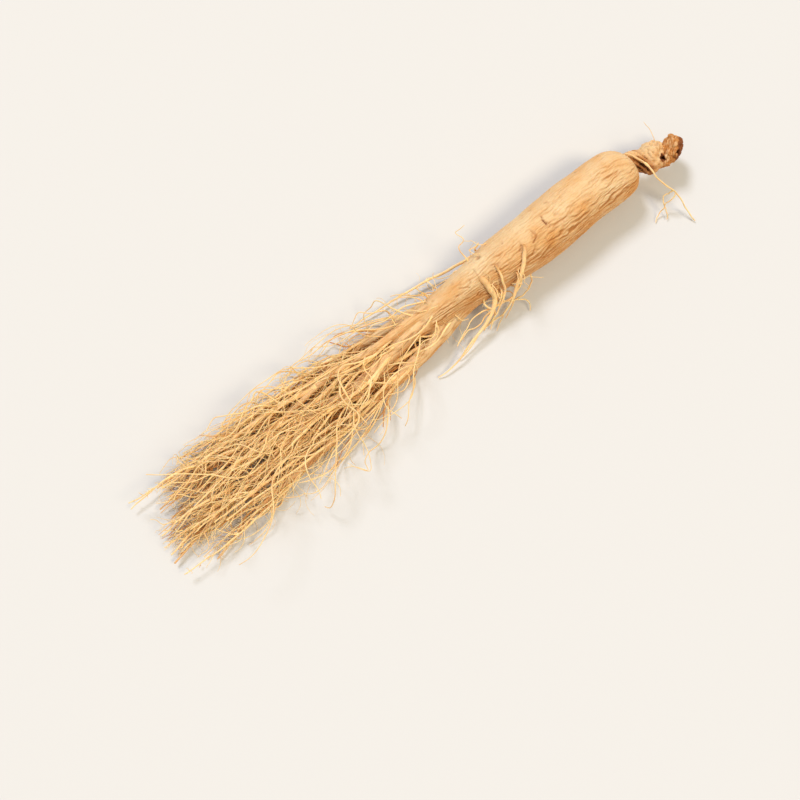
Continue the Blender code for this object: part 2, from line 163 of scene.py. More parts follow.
# How the rootlets on the body (BODY_ROOTLETS) go on past the solid's own: points added to each, then
# how much thinner each is at its foot, and how much older it looks there.
BODY_ROOTLET_TIPS = (
    ((-34.4, -15.6, 5.0, 0.36), (-38.6, -15.0, 2.8, 0.28), (-41.6, -16.6, 1.0, 0.18)),
    ((-40.2, -15.0, 5.6, 0.26), (-44.6, -15.6, 2.4, 0.18)),
    ((-63.0, -19.4, 2.4, 0.32), (-71.0, -19.0, 1.0, 0.2)),
    ((-86.0, 19.2, 0.9, 0.2),),
    (),
    ((45.0, -26.6, 1.0, 0.16),),
    ((40.6, -24.4, 0.8, 0.16),),
)
BODY_FEET = (-0.72, -0.72, -0.72, -0.72, 0.0, 0.0, 0.0)
BODY_FEET_AGE = (0.9, 0.9, 0.9, 0.9, 0.0, 0.0, 0.0)
LEGS = (
    ((-42.0, 0.8, 8.4, 5.6), (-58.0, 1.6, 7.4, 4.6), (-74.0, 0.6, 6.8, 3.5), (-95.0, -2.2, 6.2, 2.7),
     (-118.0, -1.2, 5.4, 2.0), (-146.0, -4.6, 4.4, 1.3), (-172.0, -7.4, 3.4, 0.85),
     (-198.0, -12.0, 2.4, 0.4)),
    ((-38.0, -1.8, 7.6, 4.0), (-52.0, -4.6, 6.2, 3.5), (-67.0, -7.6, 4.6, 3.0), (-84.0, -9.6, 3.0, 2.5),
     (-100.0, -10.4, 1.7, 2.0), (-126.0, -13.4, 2.6, 1.4), (-156.0, -15.4, 3.2, 0.85),
     (-184.0, -21.0, 1.8, 0.4)),
    ((-40.0, 2.4, 7.8, 3.4), (-54.0, 5.0, 6.4, 3.0), (-70.0, 8.0, 4.2, 2.6), (-90.0, 11.0, 1.8, 2.1),
     (-112.0, 11.2, 2.6, 1.5), (-140.0, 14.6, 3.6, 1.0), (-172.0, 19.8, 1.8, 0.4)),
    ((-46.0, 0.6, 11.4, 2.2), (-62.0, 4.2, 11.2, 1.9), (-84.0, 4.8, 10.2, 1.6), (-108.0, 7.6, 8.4, 1.3),
     (-136.0, 5.4, 7.0, 0.95), (-164.0, 9.4, 5.2, 0.6), (-190.0, 8.2, 3.4, 0.35)),
)
BODY_ROOTLETS = (
    ((-13.8, 0.4, 20.2, 1.0), (-15.4, -2.8, 22.4, 0.9), (-18.2, -6.4, 19.8, 0.85),
     (-21.8, -9.4, 16.0, 0.75), (-25.6, -11.8, 11.8, 0.6), (-30.0, -14.4, 8.0, 0.45)),
    ((-27.6, 1.4, 18.2, 0.6), (-28.2, -1.6, 20.4, 0.55), (-29.0, -6.0, 18.2, 0.5),
     (-30.2, -10.2, 13.4, 0.42), (-35.4, -13.4, 8.8, 0.32)),
    ((-34.4, 2.2, 14.8, 1.35), (-35.2, -1.6, 18.0, 1.3), (-34.8, -5.8, 15.8, 1.2),
     (-34.8, -9.6, 11.4, 1.0), (-40.0, -13.6, 7.4, 0.75), (-54.0, -17.2, 4.4, 0.4)),
    ((-22.0, 6.4, 7.4, 0.8), (-28.0, 10.4, 5.8, 0.7), (-38.0, 12.2, 4.4, 0.6), (-54.0, 15.6, 3.0, 0.45),
     (-76.0, 18.4, 1.6, 0.3)),
    ((42.4, 3.2, 13.0, 0.5), (45.5, 1.6, 14.0, 0.48), (46.4, -2.2, 15.4, 0.42),
     (47.3, -5.4, 16.3, 0.36), (47.2, -9.0, 16.4, 0.34), (47.3, -12.1, 15.0, 0.33),
     (49.1, -16.6, 12.4, 0.33), (51.2, -19.9, 10.0, 0.33), (52.4, -23.7, 7.4, 0.3),
     (52.6, -27.3, 4.8, 0.28), (53.0, -31.2, 2.4, 0.26), (53.4, -34.2, 0.9, 0.24)),
    ((51.1, -19.8, 10.1, 0.3), (49.6, -19.4, 8.6, 0.28), (48.4, -18.8, 7.4, 0.26),
     (47.3, -19.2, 6.4, 0.26), (46.6, -21.2, 4.6, 0.24), (46.2, -24.1, 2.6, 0.22)),
    ((51.6, -21.2, 9.2, 0.3), (49.7, -22.1, 7.6, 0.28), (47.5, -21.5, 5.6, 0.26),
     (45.6, -22.4, 3.6, 0.24), (43.1, -22.8, 1.4, 0.22)),
)

# The rule that the solid's source gives the rootlets on the legs.
ROOTLETS_PER_LEG = (14, 10, 9, 6)
BEARING_STRETCH = (0.15, 0.84)
ROOTLET_LENGTHS = (44.0, 100.0)
ROOTLET_RADII = (0.5, 1.05)
ROOTLET_TIP_SHARE = 0.36
ROOTLET_RING_GAP = 8.0
ROOTLET_STEPS = (1.5, 4.5)
ROOTLET_SLOPES = (-0.03, 0.1)
ROOTLET_HEIGHTS = (1.0, 10.0)
ROOTLET_ARCHES = (-0.75, 1.5)
ROOTLET_BENDS = (0.5, 1.7)
ROOTLET_SWAYS = (0.5, 1.6)
TAIL_X = -199.0
TAIL_SHARES = (0.82, 1.0)
SIDE_REACH = 25.0
FLOOR_GAP = 0.35

# How widely two skins round off where they meet, in millimetres, and how often a skin is eased.
LEG_JOIN, BODY_JOIN, BODY_EASING = 1.4, 3.0, 1
KNOB_JOIN, STRAND_JOIN, CUP_JOIN, CROWN_EASING = 0.9, 0.45, 0.6, 2
# The grids that the skins are drawn on: rows along X, Y and Z as stretches of start, end and step.
BODY_GRID = (((-200.5, -66.0, 1.0), (-66.0, 47.0, 0.58)), ((-24.0, 23.0, 0.26),), ((-1.5, 24.0, 0.26),))
CROWN_GRID = (((33.6, 67.5, 0.2),), ((-14.0, 8.5, 0.2),), ((2.5, 20.5, 0.2),))


def between(points, along):
    """The smooth curve through a run's points, read at a share of the way along it."""
    spans = len(points) - 1
    place = min(max(along, 0.0), 1.0) * spans
    i = min(int(place), spans - 1)
    t = place - i
    before, a, b, after = (points[min(max(k, 0), spans)] for k in (i - 1, i, i + 1, i + 2))
    return tuple(
        0.5 * (2 * q + (r - p) * t + (2 * p - 5 * q + 4 * r - s) * t * t
               + (3 * q - p - 3 * r + s) * t * t * t)
        for p, q, r, s in zip(before, a, b, after)
    )


def clamped(value):
    """Values held between 0 and 1."""
    return np.clip(value, 0.0, 1.0)


def bell(value, width):
    """1 at 0, and falling away on both sides of it."""
    return np.exp(-((value / width) ** 2))


def fade(value, start, end):
    """0 at start, 1 at end, with a soft turn at both."""
    t = clamped((value - start) / (end - start))
    return t * t * (3 - 2 * t)


def rootlet_run(rng, leg, share, side):
    """The points and radii of one rootlet that leaves a leg and streams to the tail."""
    x, y, z, leg_radius = between(leg, share)
    length = min(rng.uniform(*ROOTLET_LENGTHS), (x - TAIL_X) * rng.uniform(*TAIL_SHARES))
    radius = min(rng.uniform(*ROOTLET_RADII), 0.8 * leg_radius)
    step = side * rng.uniform(*ROOTLET_STEPS)
    slope = side * rng.uniform(*ROOTLET_SLOPES)
    height = rng.uniform(*ROOTLET_HEIGHTS)
    arch = rng.uniform(*ROOTLET_ARCHES)
    sway = rng.uniform(*ROOTLET_SWAYS)
    bends = [(rng.uniform(*ROOTLET_BENDS), rng.uniform(0.0, math.tau)) for _ in range(4)]
    rings = round(length / ROOTLET_RING_GAP)
    run = []
    for i in range(rings + 1):
        t = i / rings
        wave = [fade(t, 0.0, 0.45) * math.sin(math.tau * turns * t + phase) for turns, phase in bends]
        across = y + step * (1 - math.exp(-5 * t)) + slope * length * t
        across += sway * (wave[0] + wave[1])
        up = z + (height - z) * fade(t, 0.1, 0.9) + arch * 4 * t * (1 - t)
        up += 0.7 * sway * (wave[2] + wave[3])
        r = radius * (1 - (1 - ROOTLET_TIP_SHARE) * t)
        across = max(-SIDE_REACH, min(SIDE_REACH, across))
        run.append((x - length * t, across, max(up, r + FLOOR_GAP), r))
    return run


def rootlet_runs():
    """Every rootlet on the legs, dealt to either side in turn."""
    rng = random.Random(SEED)
    first, last = BEARING_STRETCH
    runs = []
    for leg, count in zip(LEGS, ROOTLETS_PER_LEG):
        for i in range(count):
            share = first + (i + rng.uniform(0.2, 0.8)) * (last - first) / count
            runs.append(rootlet_run(rng, leg, share, 1 if i % 2 else -1))
    return runs


def fine_run(run, rings):
    """A run read at many places along its smooth curve, as rows of x, y, z and radius."""
    return np.array([between(run, i / (rings - 1)) for i in range(rings)])


def curve_value(table, keys, column):
    """Smooth values at an array of keys, from a table whose first column grows."""
    rows = np.array(table, float)
    last = len(rows) - 1
    i = np.clip(np.searchsorted(rows[:, 0], keys) - 1, 0, last - 1)
    before, after = np.maximum(i - 1, 0), np.minimum(i + 2, last)
    key, value = rows[:, 0], rows[:, column]
    span = key[i + 1] - key[i]
    t = clamped((keys - key[i]) / span)
    slope0 = (value[i + 1] - value[before]) / (key[i + 1] - key[before]) * span
    slope1 = (value[after] - value[i]) / (key[after] - key[i]) * span
    rise = (2 * t**3 - 3 * t**2 + 1) * value[i] + (t**3 - 2 * t**2 + t) * slope0
    return rise + (3 * t**2 - 2 * t**3) * value[i + 1] + (t**3 - t**2) * slope1


# Noise in whole-number cells, the same on every run.


def cell_numbers(cells, seed):
    """Three fixed random numbers from -1 to 1 for each row of whole numbers."""
    x, y, z = (cells[:, k].astype(np.uint32) for k in range(3))
    mixed = x * np.uint32(73856093) ^ y * np.uint32(19349663) ^ z * np.uint32(83492791)
    mixed = mixed ^ np.uint32((seed * 2654435761) & 0xFFFFFFFF)
    columns = []
    for _ in range(3):
        mixed = (mixed ^ (mixed >> np.uint32(15))) * np.uint32(2246822519)
        mixed = (mixed ^ (mixed >> np.uint32(13))) * np.uint32(3266489917)
        mixed = mixed ^ (mixed >> np.uint32(16))
        columns.append(mixed.astype(np.float64) / 2147483647.5 - 1.0)
    return np.stack(columns, axis=1)


def noise(points, seed, size=1.0):
    """Smooth noise at rows of x, y, z, mostly from -1 to 1, with bumps of one size or a size per axis."""
    points = points / np.array(size)
    cells = np.floor(points).astype(np.int64)
    part = points - cells
    ease = part**3 * (part * (part * 6 - 15) + 10)
    total = np.zeros(len(points))
    for corner in itertools.product((0, 1), repeat=3):
        at = np.array(corner)
        weight = np.where(at, ease, 1 - ease).prod(axis=1)
        total += weight * (cell_numbers(cells + at, seed) * (part - at)).sum(axis=1)
    return 1.7 * total


# Fields of distances, and the skin drawn round one.


class Grid:
    """A box of sample points in rows along X, Y and Z."""

    def __init__(self, axes):
        self.rows = [np.concatenate([np.arange(*stretch) for stretch in axis]) for axis in axes]
        self.shape = tuple(len(row) for row in self.rows)

    def placed(self, counts):
        """Places in millimetres, from counts of samples along each row."""
        rows = [np.interp(count, np.arange(len(row)), row) for count, row in zip(counts.T, self.rows)]
        return np.stack(rows, axis=1)

    def window(self, low, high):
        """The slices that hold a box."""
        cut = []
        for row, a, b in zip(self.rows, low, high):
            cut.append(slice(int(np.searchsorted(row, a)), int(np.searchsorted(row, b))))
        return tuple(cut)

    def points(self, cut):
        """The x, y and z of a window, shaped so that they spread over it."""
        x, y, z = (row[part] for row, part in zip(self.rows, cut))
        return x[:, None, None], y[None, :, None], z[None, None, :]


def blend(a, b, width):
    """The lower of two fields, rounded where they meet."""
    share = clamped(0.5 + 0.5 * (b - a) / width)
    return b + (a - b) * share - width * share * (1 - share)


def chain_field(grid, run, reach):
    """Distances from a tapered chain of round links, and just the reach far from it."""
    field = np.full(grid.shape, reach)
    for a, b in zip(run, run[1:]):
        room = max(a[3], b[3]) + reach
        cut = grid.window(np.minimum(a, b)[:3] - room, np.maximum(a, b)[:3] + room)
        x, y, z = grid.points(cut)
        way = b[:3] - a[:3]
        t = ((x - a[0]) * way[0] + (y - a[1]) * way[1] + (z - a[2]) * way[2]) / (way @ way)
        t = clamped(t)
        gap = (x - a[0] - t * way[0]) ** 2 + (y - a[1] - t * way[1]) ** 2
        gap = np.sqrt(gap + (z - a[2] - t * way[2]) ** 2) - (a[3] + t * (b[3] - a[3]))
        field[cut] = np.minimum(field[cut], gap)
    return field


def summed(slots, rows, count):
    """Rows of three numbers added up in the slots that they belong to."""
    return np.stack([np.bincount(slots, weights=rows[:, k], minlength=count) for k in range(3)], axis=1)


def surface_net(field):
    """Points and quads of the zero surface of a field: one point in each cell that it crosses."""
    inside = field < 0.0
    cells, crossings, quads = [], [], []
    for axis in range(3):
        near, far = [slice(None)] * 3, [slice(None)] * 3
        near[axis], far[axis] = slice(None, -1), slice(1, None)
        at = np.argwhere(inside[tuple(near)] != inside[tuple(far)])
        step, u, v = (np.eye(3, dtype=int)[(axis + k) % 3] for k in range(3))
        a, b = field[tuple(at.T)], field[tuple((at + step).T)]
        corners = [at - p * u - q * v for p, q in ((0, 0), (1, 0), (1, 1), (0, 1))]
        ring = [np.ravel_multi_index(corner.T, field.shape) for corner in corners]
        quad = np.stack(ring, axis=1)
        quad[a > 0] = quad[a > 0][:, ::-1]
        cells += ring
        crossings += [at + step * (a / (a - b))[:, None]] * 4
        quads.append(quad)
    ids, slots = np.unique(np.concatenate(cells), return_inverse=True)
    points = summed(slots, np.concatenate(crossings), len(ids)) / np.bincount(slots)[:, None]
    return points, np.searchsorted(ids, np.concatenate(quads))


def point_normals(points, quads):
    """The way that a skin faces at each of its points."""
    a, b, c, d = (points[quads[:, k]] for k in range(4))
    across = np.cross(c - a, d - b)
    total = sum(summed(quads[:, k], across, len(points)) for k in range(4))
    return total / np.maximum(np.linalg.norm(total, axis=1, keepdims=True), 1e-12)


def eased(points, quads, rounds):
    """Points moved towards the middle of their neighbours, which takes out the grid's steps."""
    count = len(points)
    ends = np.concatenate([quads[:, [k, (k + 1) % 4]] for k in range(4)])
    counts = np.bincount(ends[:, 0], minlength=count) + np.bincount(ends[:, 1], minlength=count)
    for _ in range(rounds):
        total = sum(summed(ends[:, a], points[ends[:, b]], count) for a, b in ((0, 1), (1, 0)))
        points = 0.5 * points + 0.5 * total / counts[:, None]
    return points


# The body's own outline.


def outline_table(step, along_low, along_high, out_high):
    """Signed distances from the body's outline, on a grid of distance along and distance out."""
    along = np.linspace(0.0, BODY_LENGTH, 900)
    out = curve_value(BODY_PROFILE, along, 1)
    line = np.stack([np.r_[0.0, 0.0, along, BODY_LENGTH], np.r_[0.0, 0.6, out, 0.0]], axis=1)
    rows, columns = np.arange(along_low, along_high, step), np.arange(0.0, out_high, step)
    table = np.empty((len(rows), len(columns)))
    edge = curve_value(BODY_PROFILE, rows, 1)
    for i, s in enumerate(rows):
        gap = np.hypot(s - line[:, 0][None, :], columns[:, None] - line[:, 1][None, :]).min(axis=1)
        within = (0.0 < s < BODY_LENGTH) & (columns < edge[i])
        table[i] = np.where(within, -gap, gap)
    return table


OUTLINE_STEP = 0.25
OUTLINE_LOW = -8.0
OUTLINE = outline_table(OUTLINE_STEP, OUTLINE_LOW, along_high=120.0, out_high=24.0)


def outline_distance(s, out):
    """How far a place is outside the body's round outline."""
    i = np.clip((s - OUTLINE_LOW) / OUTLINE_STEP, 0, OUTLINE.shape[0] - 1.001)
    j = np.clip(out / OUTLINE_STEP, 0, OUTLINE.shape[1] - 1.001)
    i, j = np.broadcast_arrays(i, j)
    low_i, low_j = i.astype(int), j.astype(int)
    part_i, part_j = i - low_i, j - low_j
    near = OUTLINE[low_i, low_j] * (1 - part_j) + OUTLINE[low_i, low_j + 1] * part_j
    far = OUTLINE[low_i + 1, low_j] * (1 - part_j) + OUTLINE[low_i + 1, low_j + 1] * part_j
    return near * (1 - part_i) + far * part_i


def body_lumps(s, angle):
    """Broad swellings and hollows of the body, in millimetres, as in the solid."""
    lumps = np.cos(2 * angle + 0.8 + s / 31) + 0.8 * np.cos(3 * angle - 1.1 - s / 19)
    lumps = lumps + 0.7 * np.sin(s / 8.5 + 1.6 * np.cos(angle + 0.6))
    lumps = lumps + 0.5 * np.sin(s / 5.1 + 2.2 * np.cos(angle - 1.9))
    away = fade(s, 0.0, LUMP_ENDS) * fade(s, BODY_LENGTH, BODY_LENGTH - LUMP_ENDS)
    return LUMP_HEIGHT * lumps * away


def body_place(x, y, z):
    """Distance from the shoulder, distance out from the centre line, and angle: from -Y upwards."""
    s = SHOULDER_X - x
    aside, above = y - curve_value(BODY_AXIS, s, 1), z - curve_value(BODY_AXIS, s, 2)
    return s, np.hypot(aside, above), np.arctan2(above, -aside)


def body_distance(x, y, z):
    s, out, angle = body_place(x, y, z)
    return outline_distance(s, out) - body_lumps(s, angle)


LEG_RINGS = [fine_run(leg, 60) for leg in LEGS]


def leg_place(leg, x, y, z):
    """Distance out from a leg's surface, offsets from its centre line in y and z, and its radius."""
    order = np.argsort(leg[:, 0])
    across, up, radius = (np.interp(x, leg[order, 0], leg[order, k]) for k in (1, 2, 3))
    aside, above = y - across, z - up
    beyond = np.maximum(x - leg[:, 0].max(), leg[:, 0].min() - x)
    return np.hypot(aside, above) - radius + np.maximum(beyond, 0.0), aside, above, radius


# Wrinkles, scars and pits.


def folds(place, pitch, stretch, seed, sharp):
    """Long folds: 0 on their backs and -1 in the valleys between them, which sharp makes narrow."""
    ratio = np.abs(noise(place, seed, pitch * np.array((stretch, 1.0, 1.0))))
    return clamped(ratio * sharp) ** 0.7 - 1.0


def creases(place, angle, count, width, length, seed):
    """Creases laid side by side round the body: -1 in the deepest, and the swell between them."""
    girth = math.tau * BODY_GIRTH_RADIUS
    drift = noise(place, seed, (24.0, 8.0, 8.0))
    drift += 0.46 * noise(place, seed + 1, (6.5, 3.4, 3.4))
    drift += 0.26 * noise(place, seed + 3, (2.6, 2.0, 2.0))
    turn = angle / math.tau * count + drift * count / 38.0
    index = np.round(turn)
    gap = np.abs(turn - index) * girth / count
    row = np.mod(index, count) * 3.7 + 0.5
    rows = np.stack([place[:, 0] / length, row, np.full(len(place), 0.5)], axis=1)
    strength = clamped(0.56 + 1.2 * noise(rows, seed + 2))
    return -strength * bell(gap, width), -strength * np.cos(math.tau * (turn - index))


def wavy(place, reach, size, seed):
    """Places shifted sideways by slow waves, so that folds run together and apart."""
    moved = place.copy()
    for axis in (1, 2):
        moved[:, axis] += reach * noise(place, seed + axis, size)
    return moved


# How many marks are scattered on the body, and how far round each mark the skin is worked on.
SCARS, PITS = 34, 46
MARK_ROOM = 6.0
# Marks at places of their own: distance from the shoulder and angle in degrees of one end and of the
# other, half width, depth and how brown it is.
MARKS = [
    (45.7, 88.5, 46.4, 87.0, 0.26, 0.40, 0.95),
    (46.4, 87.0, 46.5, 98.0, 0.36, 0.60, 1.30),
    (46.5, 98.0, 45.6, 107.5, 0.28, 0.45, 1.05),
    (52.7, 94.0, 52.5, 79.0, 0.30, 0.50, 0.85),
    (52.5, 79.0, 55.0, 73.0, 0.34, 0.50, 0.95),
    (59.4, 91.0, 59.6, 82.0, 0.24, 0.35, 0.55),
    (59.6, 82.0, 61.4, 76.0, 0.30, 0.45, 0.75),
    (74.9, 123.0, 75.0, 125.0, 0.70, 0.55, 0.85),
    (88.4, 90.0, 85.0, 75.0, 0.30, 0.45, 0.60),
    (79.6, 108.0, 80.4, 60.0, 0.24, 0.30, 0.45),
    (70.2, 80.0, 73.6, 88.0, 0.24, 0.30, 0.50),
    (51.5, 77.0, 47.8, 81.0, 0.30, 0.30, 0.10),
    (47.8, 81.0, 42.7, 73.0, 0.30, 0.32, 0.12),
    (42.7, 73.0, 37.0, 70.0, 0.34, 0.36, 0.14),
    (32.4, 73.0, 22.0, 69.0, 0.30, 0.28, 0.10),
    (21.0, 94.0, 16.4, 84.0, 0.26, 0.26, 0.10),
    (16.4, 84.0, 10.6, 84.0, 0.26, 0.22, 0.08),
    (57.7, 53.0, 47.8, 56.0, 0.34, 0.36, 0.14),
    (39.6, 53.0, 23.1, 56.0, 0.32, 0.34, 0.12),
]


def scattered_marks(rng):
    """Short cross scars and small pits all round the body."""
    marks = []
    for _ in range(SCARS):
        s, angle, turn = rng.uniform(6.0, 104.0), rng.uniform(0.0, 360.0), rng.uniform(4.0, 17.0)
        end = s + rng.uniform(-0.5, 0.5)
        look = rng.uniform(0.18, 0.3), rng.uniform(0.12, 0.32), rng.uniform(0.2, 0.6)
        marks.append((s, angle, end, angle + turn, *look))
    for _ in range(PITS):
        s, angle = rng.uniform(3.0, 104.0), rng.uniform(0.0, 360.0)
        end = s + rng.uniform(0.1, 0.6)
        look = rng.uniform(0.25, 0.6), rng.uniform(0.05, 0.28), rng.uniform(0.25, 0.8)
        marks.append((s, angle, end, angle + 2.0, *look))
    return marks


def mark_relief(s, angle, place, marks):
    """Depth of the marks, with a low lip on both sides, and their stain."""
    relief, stain = np.zeros(len(s)), np.zeros(len(s))
    ragged = noise(place, 45, 0.75)
    girth = math.radians(1.0) * BODY_GIRTH_RADIUS
    for s0, angle0, s1, angle1, half, depth, brown in marks:
        across = ((np.degrees(angle) - (angle0 + angle1) / 2 + 180.0) % 360.0 - 180.0) * girth
        reach = (angle1 - angle0) / 2 * girth
        near = (np.abs(s - (s0 + s1) / 2) < MARK_ROOM) & (np.abs(across) < abs(reach) + MARK_ROOM)
        near = np.flatnonzero(near)
        way = np.array((s1 - s0, 2 * reach))
        from_start = np.stack([s[near] - s0, across[near] + reach], axis=1)
        t = clamped(from_start @ way / (way @ way))
        gap = np.hypot(*(from_start - t[:, None] * way).T) + 0.7 * half * ragged[near]
        part = 0.65 + 0.35 * ragged[near]
        relief[near] -= part * depth * bell(gap, half)
        relief[near] += 0.35 * depth * bell(gap - 2.2 * half, half)
        stain[near] = np.maximum(stain[near], part * brown * bell(gap, 1.15 * half))
    return relief, np.minimum(stain, 1.0)


def body_relief(x, y, z):
    """Relief, furrow shade and stain of the body's skin, and the place that its grain runs in."""
    s, out, angle = body_place(x, y, z)
    place = np.stack([s, BODY_GIRTH_RADIUS * np.cos(angle), BODY_GIRTH_RADIUS * np.sin(angle)], axis=1)
    patches = noise(place, 41, (20.0, 8.0, 8.0))
    flank = 0.42 + 0.60 * np.cos(angle - 0.1) - 0.2 * fade(s, 16.0, 2.0)
    near_tip = np.clip(out / 7.5, 0.15, 1.0)
    share = np.clip(flank + 0.4 * patches, 0.12, 1.1) * near_tip
    main, swell = creases(place, angle, 42, 0.3, 6.5, 5)
    second, _ = creases(place, angle, 69, 0.22, 4.0, 15)
    net = folds(wavy(place, 0.4, (4.0, 3.0, 3.0), 23), 0.8, 2.0, 7, 2.6)
    cross = folds(place * np.array((1.0, 0.25, 0.25)), 1.0, 1.0, 8, 3.0)
    cross_share = np.clip(0.5 * noise(place, 42, 8.0) + 0.25 * fade(s, 60.0, 100.0), 0.0, 0.6)
    swells = noise(place, 44, (13.0, 2.6, 2.6)) * share
    relief = 0.14 + share * (0.50 * main + 0.10 * swell)
    relief += 0.24 * (0.15 + 0.85 * share) * second * near_tip
    relief += 0.09 * net * near_tip + 0.12 * cross_share * cross + 0.2 * swells
    relief += 0.20 * noise(place, 43, (9.0, 5.0, 5.0)) * near_tip
    # Furrow shade: browner skin in the crease valleys, deepened with painted shade.
    furrow = -1.25 * (0.05 + share) * main - 0.9 * (0.05 + share) * second - 0.2 * net - 0.08
    marks, stain = mark_relief(s, angle, place, MARKS + scattered_marks(random.Random(SEED + 1)))
    return relief + marks, clamped(furrow), stain, place


def leg_relief(index, leg, x, y, z):
    """Relief, furrow shade and stain of a leg's skin, and the place that its grain runs in."""
    _, aside, above, radius = leg_place(leg, x, y, z)
    out = np.maximum(np.hypot(aside, above), 1e-6)
    place = np.stack([-x + 37.0 * index, -aside / out * radius, above / out * radius], axis=1)
    size = np.clip(radius / 4.0, 0.1, 1.0)
    bent = wavy(place, 0.7, (12.0, 5.0, 5.0), 53 + index)
    main = folds(bent, 1.5, 8.0, 55, 3.2)
    second = folds(bent, 0.9, 6.0, 56, 3.0)
    cross = folds(place * np.array((1.0, 0.3, 0.3)), 1.1, 1.0, 58, 3.0)
    relief = 0.2 * size + size * (0.40 * main + 0.14 * second)
    relief += size * 0.2 * cross * clamped(0.4 + noise(place, 59, 7.0))
    relief += radius * 0.10 * noise(place, 60, 9.0)
    # Furrow shade: browner skin in the leg's folds, deepened with painted shade.
    furrow = clamped(-0.9 * main - 0.35 * second - 0.35) * np.clip(2 * size, 0.3, 1.0)
    stain = 0.5 * clamped(noise(place, 61, (2.2, 1.2, 1.2)) - 0.6)
    return relief, furrow, stain, place


def body_skin():
    """The skin of the body and its legs, with every wrinkle raised in the mesh: points, faces, values."""
    grid = Grid(BODY_GRID)
    field = np.full(grid.shape, 6.0)
    cut = grid.window((SHOULDER_X - BODY_LENGTH - 4.0, -15.0, -2.0), (SHOULDER_X + 4.0, 15.0, 24.5))
    field[cut] = body_distance(*grid.points(cut))
    legs = np.full(grid.shape, 3.0)
    for leg in LEG_RINGS:
        legs = blend(legs, chain_field(grid, leg, 3.0), LEG_JOIN)
    field = blend(field, legs, BODY_JOIN)
    points, quads = surface_net(field)
    points = eased(grid.placed(points), quads, BODY_EASING)
    normals = point_normals(points, quads)
    x, y, z = points.T
    gaps = [np.where(x < SHOULDER_X - BODY_LENGTH - 3.0, 9.0, body_distance(x, y, z))]
    parts = [body_relief(x, y, z)]
    for index, leg in enumerate(LEG_RINGS):
        gaps.append(leg_place(leg, x, y, z)[0])
        parts.append(leg_relief(index, leg, x, y, z))
    gaps = np.stack(gaps)
    shares = np.exp(-(gaps - gaps.min(axis=0)) / 0.45)
    shares /= shares.sum(axis=0)
    relief, furrow, stain = (sum(share * part[k] for share, part in zip(shares, parts)) for k in range(3))
    owner = shares.argmax(axis=0)
    place = np.stack([part[3] for part in parts])[owner, np.arange(len(points))]
    points = points + normals * relief[:, None]
    points[:, 2] = np.maximum(points[:, 2], 0.0)
    # Painted shade through the age value: the flank that faces -Y, away from the key lamp, is darker and
    # more orange, and so are the underside and the ring where the neck leaves the dome. The legs darken
    # towards the tail as real age.
    flank = fade(-normals[:, 1] - 0.5 * normals[:, 2], 0.0, 0.9)
    ridges = noise(place, 46, (7.0, 1.6, 1.6))
    age = 0.1 * fade(x, -60.0, -110.0) + flank * (0.36 + 0.6 * furrow - 0.5 * ridges)
    age += 0.15 * fade(-normals[:, 2], -0.2, 0.9)
    age += 0.3 * fade(np.hypot(y - 1.4, z - 12.0), 4.4, 2.5) * fade(x, 38.0, 42.0)
    return points, quads.tolist(), {"place": place, "furrow": furrow, "stain": stain, "age": clamped(age)}


def lobe_field(x, y, z, centre, half, turn):
    """Distances from one knob of the crown: a ball stretched, turned and roughened by slow waves."""
    c, s = math.cos(math.radians(turn)), math.sin(math.radians(turn))
    x, y, z = x - centre[0], y - centre[1], z - centre[2]
    u, v, w = (c * x + s * y) / half[0], (c * y - s * x) / half[1], z / half[2]
    out = np.sqrt(u * u + v * v + w * w) + 1e-9
    u, v, w = u / out, v / out, w / out
    rough = np.sin(5 * u + 2 * w) * np.cos(4 * v + u) + np.sin(6 * w + 3 * v)
    return (out - 1 - 0.07 * rough) * (min(half) + sum(half) / 3) / 2


def line_gap(points, line):
    """Distances from points to a line of straight stretches."""
    nearest = np.full(len(points), np.inf)
    for a, b in zip(line, line[1:]):
        a, way = np.array(a), np.array(b) - np.array(a)
        t = clamped((points - a) @ way / (way @ way))
        nearest = np.minimum(nearest, np.linalg.norm(points - a - t[:, None] * way, axis=1))
    return nearest


def strand_gap(points):
    """How far each point is outside the nearest strand of the neck."""
    nearest = np.full(len(points), np.inf)
    for strand in NECK_STRANDS:
        for row in fine_run(strand, 18):
            nearest = np.minimum(nearest, np.linalg.norm(points - row[:3], axis=1) - row[3])
    return nearest


